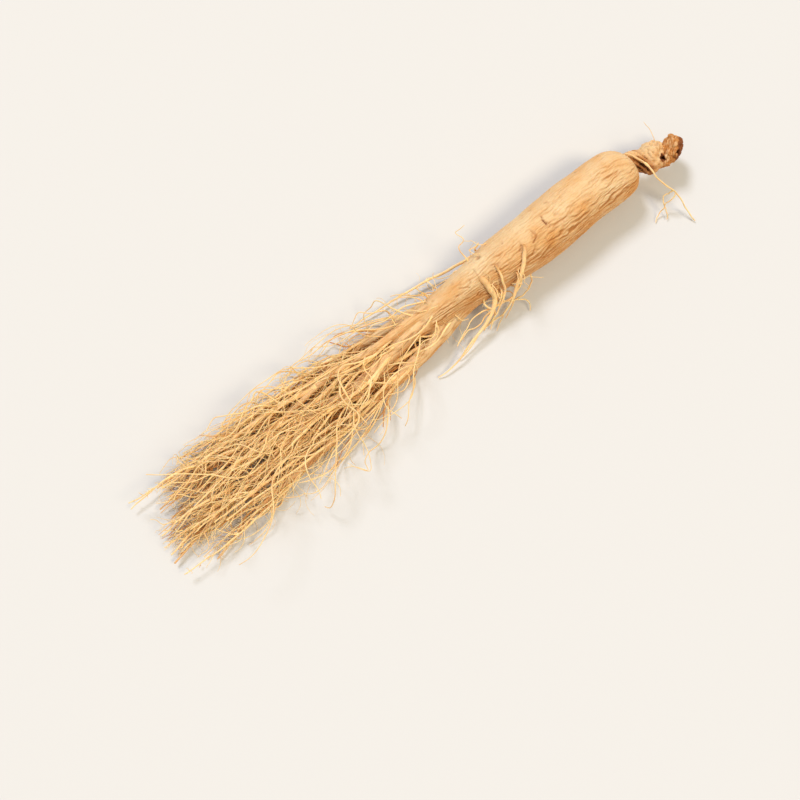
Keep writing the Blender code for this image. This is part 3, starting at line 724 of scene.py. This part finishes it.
def crown_skin():
    """The skin of the neck and the knobs that each year's stem left: points, faces, values."""
    grid = Grid(CROWN_GRID)
    x, y, z = grid.points((slice(None),) * 3)
    neck = fine_run(NECK, 40)
    neck[:, 3] += 0.25 * np.sin(np.arange(len(neck)) * 1.35)
    field = chain_field(grid, neck, 4.0)
    for centre, half, turn in CROWN_LOBES + KNOB_JOINS:
        field = blend(field, lobe_field(x, y, z, centre, half, turn), KNOB_JOIN)
    for strand in NECK_STRANDS:
        field = blend(field, chain_field(grid, fine_run(strand, 24), 3.0), STRAND_JOIN)
    for centre, radius in STEM_CUPS:
        gap = np.sqrt((x - centre[0]) ** 2 + (y - centre[1]) ** 2 + (z - centre[2]) ** 2)
        field = -blend(-field, gap - radius, CUP_JOIN)
    points, quads = surface_net(field)
    points = eased(grid.placed(points), quads, CROWN_EASING)
    normals = point_normals(points, quads)
    x, y, z = points.T
    rims, hollow, pale = np.zeros(len(x)), np.zeros(len(x)), np.zeros(len(x))
    for index, (centre, radius) in enumerate(STEM_CUPS):
        gap = np.linalg.norm(points - np.array(centre), axis=1) - radius
        rims += 0.24 * bell(gap - 0.4, 0.4)
        if index in PIT_CUPS:
            hollow = np.maximum(hollow, clamped(1 - gap / 0.5))
            pale = np.maximum(pale, bell(gap - 1.0, 0.5))
        else:
            hollow = np.maximum(hollow, 0.4 * bell(gap, 0.3))
    last = fade(x - 59.5 - 0.83 * (y + 1.8), -0.8, 0.8)
    place = np.stack([x, y, z], axis=1)
    crease = bell(line_gap(place, KNOB_CREASE), 0.55)
    bent = wavy(place, 0.45, (4.0, 4.0, 4.0), 71)
    along_neck = folds(bent, 1.0, 3.4, 72, 2.6)
    u, v, w = bent.T
    turned = np.stack([u + 0.84 * v, u - 1.19 * v, w], axis=1)
    fluted = folds(turned, 1.3, 3.4, 73, 2.6)
    rounded = folds(bent, 3.0, 1.0, 74, 1.8)
    fine = folds(bent, 0.8, 1.4, 75, 2.4)
    lumps = noise(bent, 80, 1.5)
    neck_share = fade(x, 50.5, 47.0)
    relief = 0.28 * neck_share * along_neck
    relief += (1 - neck_share) * (0.5 * last * fluted + 0.3 * (1 - last) * rounded + 0.26 * lumps)
    relief += 0.22 + 0.12 * fine + 0.34 * noise(place, 76, 2.6) + 0.12 * noise(place, 79, 0.9)
    relief += rims
    relief -= 0.45 * crease
    # Painted shade in the flute valleys, the low places of the lumps and the gaps between the neck's
    # strands, over browner skin there.
    furrow = clamped(-0.8 * last * fluted - 0.9 * lumps - 0.35 * fine - 0.2)
    between_strands = neck_share * fade(strand_gap(place), 0.05, 0.5)
    relief -= 0.25 * between_strands
    furrow = np.maximum(furrow, between_strands)
    points = points + normals * relief[:, None]
    # Painted shade through age and stain: the undersides, the sides that face -Y away from the key lamp,
    # the neck's -Y side, the stem cups and the pit between the knobs, the crease on the last knob and its
    # shaded side beyond it, and the gaps between the neck's strands are made darker. The last knob is
    # also browner of itself.
    under = fade(normals[:, 2], 0.3, -0.5)
    shaded = fade(-normals[:, 1] + 0.4 * normals[:, 0] - 0.6 * normals[:, 2], 0.0, 0.9)
    beyond = last * fade(0.685 * (x - 62.4) - 0.729 * (y + 7.8), -0.6, 0.5)
    age = 0.02 + last * (1.06 - 0.8 * (0.6 + fluted) - 0.5 * lumps) + 0.3 * under
    age += (0.16 + 0.3 * last) * shaded
    age += 0.3 * beyond + 0.55 * (1 - last) * (1 - neck_share) * fade(-normals[:, 1], -0.2, 0.7)
    age += 0.7 * neck_share * fade(-y, -0.5, 2.5) - 0.4 * pale * (1 - hollow)
    age += 0.25 * noise(place, 77, 1.8)
    stain = 1.1 * hollow + 0.6 * crease + 0.12 * last + 0.6 * beyond
    stain += 0.4 * clamped(noise(place, 78, 1.4) - 0.5) + 0.3 * between_strands
    stain += 0.45 * neck_share * fade(-y, 0.5, 4.0)
    values = {"place": place, "furrow": furrow, "stain": clamped(stain), "age": clamped(age)}
    return points, quads.tolist(), values


# Rootlets, as many tubes of one kind at once: paths are (tubes, rings, 3) and radii (tubes, rings).

# How far apart the tubes of a piece lie in the skin's own coordinates, so that no two look alike.
TUBE_OFFSET = 61.0
# How much room a tube has for its roughness, as a share of its radius, and how often paths are rounded.
TUBE_ROOM = 1.3
ROUNDINGS = 5


def unit(vectors):
    return vectors / np.maximum(np.linalg.norm(vectors, axis=-1, keepdims=True), 1e-9)


def kept_in(paths, radii):
    """Paths folded back from the walls of the box, so that no tube leaves it, and then rounded."""
    room = TUBE_ROOM * radii[..., None]
    paths = np.abs(paths - (LOW + room)) + LOW + room
    paths = (HIGH - room) - np.abs((HIGH - room) - paths)
    for _ in range(ROUNDINGS):
        paths[:, 1:-1] = (paths[:, :-2] + 2 * paths[:, 1:-1] + paths[:, 2:]) / 4
    return paths


def tube_skin(paths, radii, sides, seed, rough):
    """Closed tubes in the box, their radius roughened by noise, with the place that the grain runs in."""
    paths = kept_in(paths, radii)
    count, rings = paths.shape[:2]
    ahead = unit(np.gradient(paths, axis=1))
    steps = np.linalg.norm(np.diff(paths, axis=1), axis=2)
    lengths = np.concatenate([np.zeros((count, 1)), np.cumsum(steps, axis=1)], axis=1)
    spoke = unit(np.cross(ahead[:, 0], np.array((0.31, 0.2, 0.93))))
    angles = math.tau * np.arange(sides) / sides
    cos, sin = np.cos(angles), np.sin(angles)
    skin = np.empty((count, rings, sides, 3))
    place = np.empty((count, rings, sides, 3))
    offset = TUBE_OFFSET * np.arange(count)[:, None]
    for i in range(rings):
        spoke = unit(spoke - ahead[:, i] * (spoke * ahead[:, i]).sum(axis=1, keepdims=True))
        other = np.cross(ahead[:, i], spoke)
        way = spoke[:, None, :] * cos[None, :, None] + other[:, None, :] * sin[None, :, None]
        at = np.stack(np.broadcast_arrays(lengths[:, i, None] + offset, cos, sin), axis=2)
        size = np.maximum(radii[:, i], 0.2)[:, None]
        rows = np.stack([at[..., 0] / 2.6, at[..., 1] * 1.3, at[..., 2] * 1.3], axis=2).reshape(-1, 3)
        swell = noise(rows, seed).reshape(count, sides)
        knots = noise(rows * np.array((0.55, 0.0, 0.0)) + np.array((0.0, 7.5, 0.5)), seed + 1)
        around = 1 + rough * (swell + 0.7 * knots.reshape(count, sides))
        skin[:, i] = paths[:, i, None, :] + way * (radii[:, i, None] * around)[..., None]
        place[:, i] = np.stack([at[..., 0], at[..., 1] * size, at[..., 2] * size], axis=2)
    ends = [paths[:, 0] - ahead[:, 0] * radii[:, :1], paths[:, -1] + ahead[:, -1] * radii[:, -1:]]
    points = np.concatenate([skin.reshape(count, -1, 3), np.stack(ends, axis=1)], axis=1)
    places = np.concatenate([place.reshape(count, -1, 3), place[:, [0, -1], 0]], axis=1)
    side = np.arange(sides)
    pairs = np.stack([side, (side + 1) % sides], axis=1)
    ring = sides * np.arange(rings - 1)[:, None, None]
    quads = np.concatenate([ring + pairs, ring + sides + pairs[:, ::-1]], axis=2).reshape(-1, 4)
    foot, tip = np.full((2, sides, 1), rings * sides) + np.arange(2)[:, None, None]
    last = (rings - 1) * sides
    caps = np.concatenate([np.hstack([foot, pairs[:, ::-1]]), np.hstack([tip, last + pairs])])
    per_tube = points.shape[1]
    shift = per_tube * np.arange(count)[:, None, None]
    quads, caps = (quads + shift).reshape(-1, 4), (caps + shift).reshape(-1, 3)
    owner = np.repeat(np.arange(count), per_tube)
    return points.reshape(-1, 3), quads.tolist() + caps.tolist(), places.reshape(-1, 3), owner


def tapered(radii, rings, tip_share, flare):
    """Radii along each tube: a flared foot, then an even taper to the tip."""
    t = np.linspace(0.0, 1.0, rings)[None, :]
    return radii[:, None] * (1 - (1 - tip_share) * t + flare * np.exp(-t * rings / 2.0))


def rootlet_skin(runs, rings, sides, foot=0.5, foot_length=1.2):
    """Rootlets along given runs, each with a foot that is thicker or thinner than the rest."""
    rows = np.stack([fine_run(run, rings) for run in runs])
    paths, radii = rows[..., :3].copy(), rows[..., 3].copy()
    rng = np.random.default_rng(SEED + 5)
    for k in range(3):
        phase = rng.uniform(0, math.tau, (len(runs), 1))
        pace = rng.uniform(0.35, 0.8, (len(runs), 1))
        wave = 0.16 * np.sin(np.arange(rings)[None, :] * pace + phase)
        paths[..., k] += wave * fade(np.arange(rings), 2, 12)
    length = np.linalg.norm(np.diff(paths, axis=1), axis=2).sum(axis=1)[:, None]
    along = np.linspace(0.0, 1.0, rings)[None, :] * length
    feet = np.broadcast_to(foot, len(runs))[:, None]
    radii *= 1 + feet * bell(along, foot_length)
    return tube_skin(paths, radii, sides, 81, 0.13)


def drifting(rng, starts, ways, lengths, rings, curl, steady, goal, pull):
    """Paths that wander as they grow: each step turns a little, and a goal direction draws it back."""
    count = len(starts)
    paths = np.empty((count, rings, 3))
    at, way, turn = starts.copy(), unit(ways), np.zeros((count, 3))
    for i in range(rings):
        paths[:, i] = at
        turn = steady * turn + (1 - steady) * rng.standard_normal((count, 3))
        way = unit(way + curl[:, None] * turn + pull * (goal - way))
        at = at + way * (lengths / (rings - 1))[:, None]
    return paths


# A kind of thin rootlet that streams to the tail. Stretches that numbers are drawn from: along, the
# stretch of its parent that it leaves; lengths; shares, of the room to the tail; radii; and curls.
# It sets off at its parent's way plus swerve by spread, and heads for goal by pull at each step.
Stream = namedtuple(
    "Stream",
    "seed count rings along swerve spread goal lengths shares radii curls steady pull tip_share flare"
    " sides noise_seed rough",
)
THIN_ROOTLETS = Stream(
    seed=6, count=310, rings=44, along=(0.02, 0.86), swerve=0.55, spread=(0.4, 1.0, 0.5),
    goal=(-1.0, 0.0, -0.05), lengths=(22.0, 84.0), shares=(0.5, 1.0), radii=(0.18, 0.50),
    curls=(0.12, 0.42), steady=0.72, pull=0.10, tip_share=0.35, flare=0.5,
    sides=5, noise_seed=83, rough=0.14,
)
# The felt of fine curling hairs among the rootlets.
FINE_HAIRS = Stream(
    seed=7, count=820, rings=24, along=(0.10, 0.97), swerve=0.9, spread=(0.9, 1.0, 0.5),
    goal=(-0.9, 0.0, -0.16), lengths=(5.0, 28.0), shares=0.85, radii=(0.09, 0.17),
    curls=(0.25, 0.8), steady=0.75, pull=0.09, tip_share=0.5, flare=0.4,
    sides=4, noise_seed=85, rough=0.1,
)
# The lowest rootlets, which lie in the shade of the others, and how many of them fill the fork.
UNDER_ROOTLETS = Stream(
    seed=9, count=210, rings=30, along=(0.0, 0.9), swerve=0.3, spread=(0.4, 1.0, 0.3),
    goal=(-1.0, 0.0, -0.04), lengths=(14.0, 50.0), shares=(0.4, 0.9), radii=(0.22, 0.55),
    curls=(0.1, 0.35), steady=0.7, pull=0.2, tip_share=0.4, flare=0.0,
    sides=5, noise_seed=89, rough=0.14,
)
FORK_ROOTLETS = 30
UNDER_CEILING = 4.5


def drawn(rng, stretch, count):
    """Numbers drawn from a stretch, or the one number that is given in its place."""
    return rng.uniform(*stretch, count) if isinstance(stretch, tuple) else stretch


def run_places(rng, runs, count, first, last):
    """Random places along random runs, with their radius, and the ways that the runs take there."""
    chosen = rng.integers(0, len(runs), count)
    at = rng.uniform(first, last, count)
    places, ways = [], []
    for k, t in zip(chosen, at):
        run = runs[k]
        i = min(int(t * (len(run) - 1)), len(run) - 2)
        part = t * (len(run) - 1) - i
        places.append(run[i] * (1 - part) + run[i + 1] * part)
        ways.append(run[i + 1][:3] - run[i][:3])
    return np.array(places), unit(np.array(ways))


def room_to_tail(places):
    """How far thin rootlets may still run: to a tail that is rounded across and that few reach."""
    return np.maximum(places[:, 0] - TAIL_X - 0.035 * (places[:, 1] + 4.0) ** 2, 3.0)


def settled(rng, places):
    """Places moved down near the floor, and the first of them into the fork between the legs."""
    places[:, 2] = np.minimum(places[:, 2], rng.uniform(0.6, 4.0, len(places)))
    x = rng.uniform(-90.0, -54.0, FORK_ROOTLETS)
    y = 2.7 + 0.106 * x + rng.normal(0.0, 0.7, FORK_ROOTLETS)
    z = rng.uniform(2.0, 4.4, FORK_ROOTLETS)
    places[:FORK_ROOTLETS] = np.stack([x, y, z, np.full(FORK_ROOTLETS, 1.0)], axis=1)
    return places


def stream_skin(parents, kind):
    """Thin rootlets of one kind, which leave their parents and stream along with them."""
    rng = np.random.default_rng(SEED + kind.seed)
    count = kind.count
    places, ways = run_places(rng, parents, count, *kind.along)
    if kind is UNDER_ROOTLETS:
        places = settled(rng, places)
    ways = ways + kind.swerve * rng.standard_normal((count, 3)) * np.array(kind.spread)
    lengths = drawn(rng, kind.lengths, count)
    lengths = np.minimum(lengths, room_to_tail(places) * drawn(rng, kind.shares, count))
    radii = np.minimum(drawn(rng, kind.radii, count), 0.8 * places[:, 3])
    curls, goal = drawn(rng, kind.curls, count), np.array(kind.goal)
    paths = drifting(rng, places[:, :3], ways, lengths, kind.rings, curls, kind.steady, goal, kind.pull)
    if kind is UNDER_ROOTLETS:
        paths[..., 2] = np.minimum(paths[..., 2], UNDER_CEILING)
    radii = tapered(radii, kind.rings, kind.tip_share, kind.flare)
    return tube_skin(paths, radii, kind.sides, kind.noise_seed, kind.rough)


def tangle_skin():
    """Thin curling rootlets on the lower flanks of the body."""
    rng = np.random.default_rng(SEED + 8)
    count, rings = 30, 40
    s = rng.uniform(64.0, 104.0, count)
    near_side = rng.uniform(size=count) < 0.8
    angle = np.where(near_side, rng.uniform(-0.5, 1.0, count), math.pi + rng.uniform(-0.9, 0.4, count))
    out = curve_value(BODY_PROFILE, s, 1) - 0.6
    spoke = np.stack([np.zeros(count), -np.cos(angle), np.sin(angle)], axis=1)
    across, up = (curve_value(BODY_AXIS, s, k) for k in (1, 2))
    centre = np.stack([SHOULDER_X - s, across, up], axis=1)
    starts = centre + spoke * out[:, None]
    ways = spoke + 0.5 * rng.standard_normal((count, 3))
    goal = np.array((-0.75, 0.0, -0.25))
    lengths = rng.uniform(7.0, 24.0, count)
    curls = rng.uniform(0.35, 0.7, count)
    paths = drifting(rng, starts, ways, lengths, rings, curls, steady=0.7, goal=goal, pull=0.1)
    radii = tapered(rng.uniform(0.14, 0.34, count), rings, 0.4, 0.8)
    return tube_skin(paths, radii, 6, 87, 0.14)


# Materials.


def wired(tree, node, inputs):
    """A node with its inputs set to plain values or linked to other sockets."""
    for name, value in inputs.items():
        if isinstance(value, bpy.types.NodeSocket):
            tree.links.new(value, node.inputs[name])
        else:
            node.inputs[name].default_value = value
    return node


def opaque(colour):
    """A colour that may be a socket or three numbers, as an input takes it."""
    return (*colour, 1.0) if isinstance(colour, tuple) else colour


def ramp(tree, source, stops):
    """A colour ramp through stops of place and colour."""
    made = wired(tree, tree.nodes.new("ShaderNodeValToRGB"), {"Fac": source})
    elements = made.color_ramp.elements
    while len(elements) < len(stops):
        elements.new(0.5)
    for element, (place, colour) in zip(elements, stops):
        element.position = place
        element.color = opaque(colour)
    return made.outputs["Color"]


def attribute(tree, name, output):
    made = tree.nodes.new("ShaderNodeAttribute")
    made.attribute_name = name
    return made.outputs[output]


def grain(tree, source, scale, detail, roughness):
    """Noise at a scale of its own along each axis of the skin's places."""
    mapping = wired(tree, tree.nodes.new("ShaderNodeMapping"), {"Scale": scale, "Vector": source})
    inputs = {"Scale": 1.0, "Detail": detail, "Roughness": roughness, "Vector": mapping.outputs["Vector"]}
    return wired(tree, tree.nodes.new("ShaderNodeTexNoise"), inputs).outputs["Fac"]


def mixed(tree, factor, a, b, kind="MIX"):
    """A mix of two colours, each of them a socket or three numbers."""
    made = tree.nodes.new("ShaderNodeMix")
    made.data_type = "RGBA"
    made.blend_type = kind
    return wired(tree, made, {0: factor, 6: opaque(a), 7: opaque(b)}).outputs[2]


def scaled(tree, source, factor):
    """A value times a number, held between 0 and 1."""
    made = tree.nodes.new("ShaderNodeMath")
    made.operation = "MULTIPLY"
    made.use_clamp = True
    return wired(tree, made, {0: source, 1: factor}).outputs[0]


def grey(value):
    return (value, value, value)


PALE = (0.80, 0.62, 0.38)
STRAW = (0.76, 0.523, 0.283)
TAN = (0.713, 0.357, 0.107)
AMBER = (0.52, 0.195, 0.038)
# The furrow colour: browner skin in the creases, deepened with painted shade.
FURROW_SHADE = (0.43, 0.17, 0.038)
RUST = (0.33, 0.10, 0.018)
BROWN = (0.157, 0.043, 0.011)
BODY_TONES = (PALE, STRAW, TAN)
STRAND_TONES = ((1.0, 0.80, 0.47), (0.98, 0.70, 0.36), (0.92, 0.50, 0.18))


def new_material(name):
    """A material with its node tree and its shader."""
    material = bpy.data.materials.new(name)
    material.use_nodes = True
    return material, material.node_tree, material.node_tree.nodes["Principled BSDF"]


def skin_material(name, bump, paleness, tones, depth):
    """Dry waxy skin: straw with paler and tan patches, furrows browned and deepened with painted shade,
    stains and a fine grain; its age and stain values also carry painted shade.
    """
    material, tree, shader = new_material(name)
    place = attribute(tree, "place", "Vector")
    age, furrow, stain = (attribute(tree, key, "Fac") for key in ("age", "furrow", "stain"))
    broad = grain(tree, place, (0.07, 0.11, 0.11), 3.0, 0.55)
    streak = grain(tree, place, (0.35, 2.0, 2.0), 4.0, 0.6)
    fleck = grain(tree, place, (1.1, 2.2, 2.2), 3.0, 0.65)
    fine = grain(tree, place, (0.8, 3.2, 3.2), 5.0, 0.62)
    tone = ramp(tree, broad, ((0.30, tones[0]), (0.50 + paleness, tones[1]), (0.78 + paleness, tones[2])))
    streaks = ((0.36, (0.82, 0.74, 0.64)), (0.52, grey(1.0)), (0.72, (1.03, 1.05, 1.10)))
    streaks = ramp(tree, streak, streaks)
    colour = mixed(tree, 0.35, tone, streaks, "MULTIPLY")
    # Older skin, and painted shade on sides turned from the light, from the age value.
    colour = mixed(tree, age, colour, ramp(tree, fleck, ((0.30, TAN), (0.62, AMBER))))
    # Furrows: browner skin deepened with painted shade.
    colour = mixed(tree, scaled(tree, furrow, 0.85), colour, FURROW_SHADE)
    colour = mixed(tree, ramp(tree, fleck, ((0.64, grey(0.0)), (0.76, grey(0.55)))), colour, AMBER)
    # Stains, and painted shade in the crown's pit, crease and gaps, from the stain value.
    deep = ramp(tree, stain, ((0.35, RUST), (0.85, BROWN)))
    colour = mixed(tree, scaled(tree, stain, 1.3), colour, deep)
    bumps = {"Strength": bump, "Distance": 0.0004, "Height": fine}
    rough = wired(tree, tree.nodes.new("ShaderNodeBump"), bumps)
    wired(tree, shader, {
        "Base Color": colour,
        "Roughness": ramp(tree, streak, ((0.3, grey(0.48)), (0.7, grey(0.74)))),
        "Metallic": 0.0,
        "Specular IOR Level": 0.32,
        "Subsurface Weight": depth,
        "Subsurface Radius": (1.0, 0.45, 0.18),
        "Subsurface Scale": 0.0012,
        "Normal": rough.outputs["Normal"],
    })
    return material


# Pieces, stage, lights and camera.


# The camera: bearing and height in degrees, distance and aim in metres, and field of view in degrees.
VIEW_AZIMUTH = -38.8
VIEW_ELEVATION = 80.0
VIEW_DISTANCE = 0.42
VIEW_AIM = (-0.0897, -0.01765, 0.010)
VIEW_FIELD = 41.0
VIEW_CLIP = (0.01, 20.0)
FLOOR_HALF = 2.5
FLOOR_COLOUR = (0.648, 0.68, 0.74)
SKY_COLOUR = (1.0, 0.93, 0.78)
SKY_STRENGTH = 0.51


def added(name, data, towards=None):
    """An object with its data, put in the scene, and turned so that its back points a given way."""
    made = bpy.data.objects.new(name, data)
    if towards:
        made.rotation_mode = "QUATERNION"
        made.rotation_quaternion = Vector(towards).to_track_quat("Z", "Y")
    bpy.context.scene.collection.objects.link(made)
    return made


def piece(name, points, faces, values, material):
    """A smooth mesh that stands for the solid, with the skin's values on its points."""
    mesh = bpy.data.meshes.new(name)
    mesh.from_pydata(points * MM, [], faces)
    for key, value in values.items():
        kind, slot = ("FLOAT_VECTOR", "vector") if key == "place" else ("FLOAT", "value")
        layer = mesh.attributes.new(key, kind, "POINT")
        layer.data.foreach_set(slot, np.asarray(value, np.float32).ravel())
    mesh.shade_smooth()
    mesh.materials.append(material)
    made = added(name, mesh)
    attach(made, "root")
    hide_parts("ginseng_root")


def tube_piece(name, skin, material, tints, furrow=0.0, foot_age=0.0):
    """A piece of many tubes, each with a tint of its own."""
    points, faces, places, owner = skin
    points[:, 2] = np.maximum(points[:, 2], 0.01)
    rng = np.random.default_rng(SEED + len(name))
    tint = rng.uniform(*tints, owner.max() + 1)[owner]
    patch = 0.25 * noise(places, 91, (9.0, 40.0, 40.0))
    old = np.broadcast_to(foot_age, owner.max() + 1)[owner]
    old = old * bell(places[:, 0] - TUBE_OFFSET * owner, 5.0)
    spots = 0.7 * clamped(noise(places, 92, (1.4, 1.0, 1.0)) - 0.62)
    values = {
        "place": places,
        "age": clamped(tint + patch + old),
        "furrow": np.full(len(points), furrow),
        "stain": clamped(spots + 0.35 * old),
    }
    piece(name, points, faces, values, material)


def pale_floor():
    mesh = bpy.data.meshes.new("floor")
    corners = [(FLOOR_HALF * x, FLOOR_HALF * y, 0.0) for x, y in ((-1, -1), (1, -1), (1, 1), (-1, 1))]
    mesh.from_pydata(corners, [], [(0, 1, 2, 3)])
    material, tree, shader = new_material("pale_floor")
    wired(tree, shader, {"Roughness": 0.85, "Base Color": opaque(FLOOR_COLOUR)})
    mesh.materials.append(material)
    floor = added("floor", mesh)


def sun(name, strength, spread, colour, towards):
    """A wide soft lamp, whose light comes from where it points towards."""
    data = bpy.data.lights.new(name, "SUN")
    data.energy = strength
    data.angle = math.radians(spread)
    data.color = colour
    added(name, data, towards)


def lights():
    """Soft light from the far side and above, a warm one from the near side, and a pale warm sky."""
    world = bpy.data.worlds.new("studio")
    world.use_nodes = True
    background = world.node_tree.nodes["Background"]
    wired(world.node_tree, background, {"Color": opaque(SKY_COLOUR), "Strength": SKY_STRENGTH})
    bpy.context.scene.world = world
    sun("key", strength=1.88, spread=16.0, colour=(1.0, 0.98, 1.0), towards=(0.0, 1.0, 1.3))
    sun("fill", strength=1.70, spread=22.0, colour=(1.0, 0.80, 0.52), towards=(0.4, -0.7, 1.1))


def camera():
    """The photograph's view: from high above, with the crown at the upper right."""
    azimuth, elevation = math.radians(VIEW_AZIMUTH), math.radians(VIEW_ELEVATION)
    back = Vector((
        math.sin(azimuth) * math.cos(elevation),
        -math.cos(azimuth) * math.cos(elevation),
        math.sin(elevation),
    ))
    lens = bpy.data.cameras.new("camera")
    lens.angle = math.radians(VIEW_FIELD)
    lens.clip_start, lens.clip_end = VIEW_CLIP
    made = added("camera", lens, back)
    made.location = Vector(VIEW_AIM) + back * VIEW_DISTANCE
    bpy.context.scene.camera = made


def main():
    bpy.context.scene.view_settings.view_transform = "Standard"
    skin = skin_material("dried_root_skin", 0.55, 0.0, BODY_TONES, 0.12)
    strand = skin_material("dried_rootlet_skin", 0.4, 0.1, STRAND_TONES, 0.2)
    crown = skin_material("dried_crown_skin", 0.55, 0.12, BODY_TONES, 0.12)
    piece("root_body", *body_skin(), skin)
    piece("root_crown", *crown_skin(), crown)
    runs = rootlet_runs()
    ended = [run + tip for run, tip in zip(BODY_ROOTLETS, BODY_ROOTLET_TIPS)]
    body_rootlets = rootlet_skin(ended, 70, 12, BODY_FEET, foot_length=4.5)
    tube_piece("leg_rootlets", rootlet_skin(runs, 80, 10), strand, (0.0, 0.12))
    tube_piece("body_rootlets", body_rootlets, strand, (0.0, 0.12), foot_age=BODY_FEET_AGE)
    tube_piece("flank_rootlets", rootlet_skin(FLANK_ROOTLETS, 70, 8), strand, (0.0, 0.3))
    tube_piece("crown_hair", rootlet_skin((CROWN_HAIR, NECK_THREAD), 30, 6), strand, (0.3, 0.4))
    parents = LEG_RINGS * 3 + [fine_run(run, 40) for run in runs]
    tube_piece("thin_rootlets", stream_skin(parents, THIN_ROOTLETS), strand, (0.0, 0.22))
    tube_piece("fine_hairs", stream_skin(parents, FINE_HAIRS), strand, (0.0, 0.3))
    # The lowest rootlets are tinted darker and given furrow shade all along: painted shade, for they lie
    # under the others.
    tube_piece("under_rootlets", stream_skin(parents, UNDER_ROOTLETS), strand, (0.55, 0.95), furrow=0.3)
    tube_piece("tangled_rootlets", tangle_skin(), strand, (0.0, 0.35))
    pale_floor()
    lights()
    camera()
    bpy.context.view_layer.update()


main()
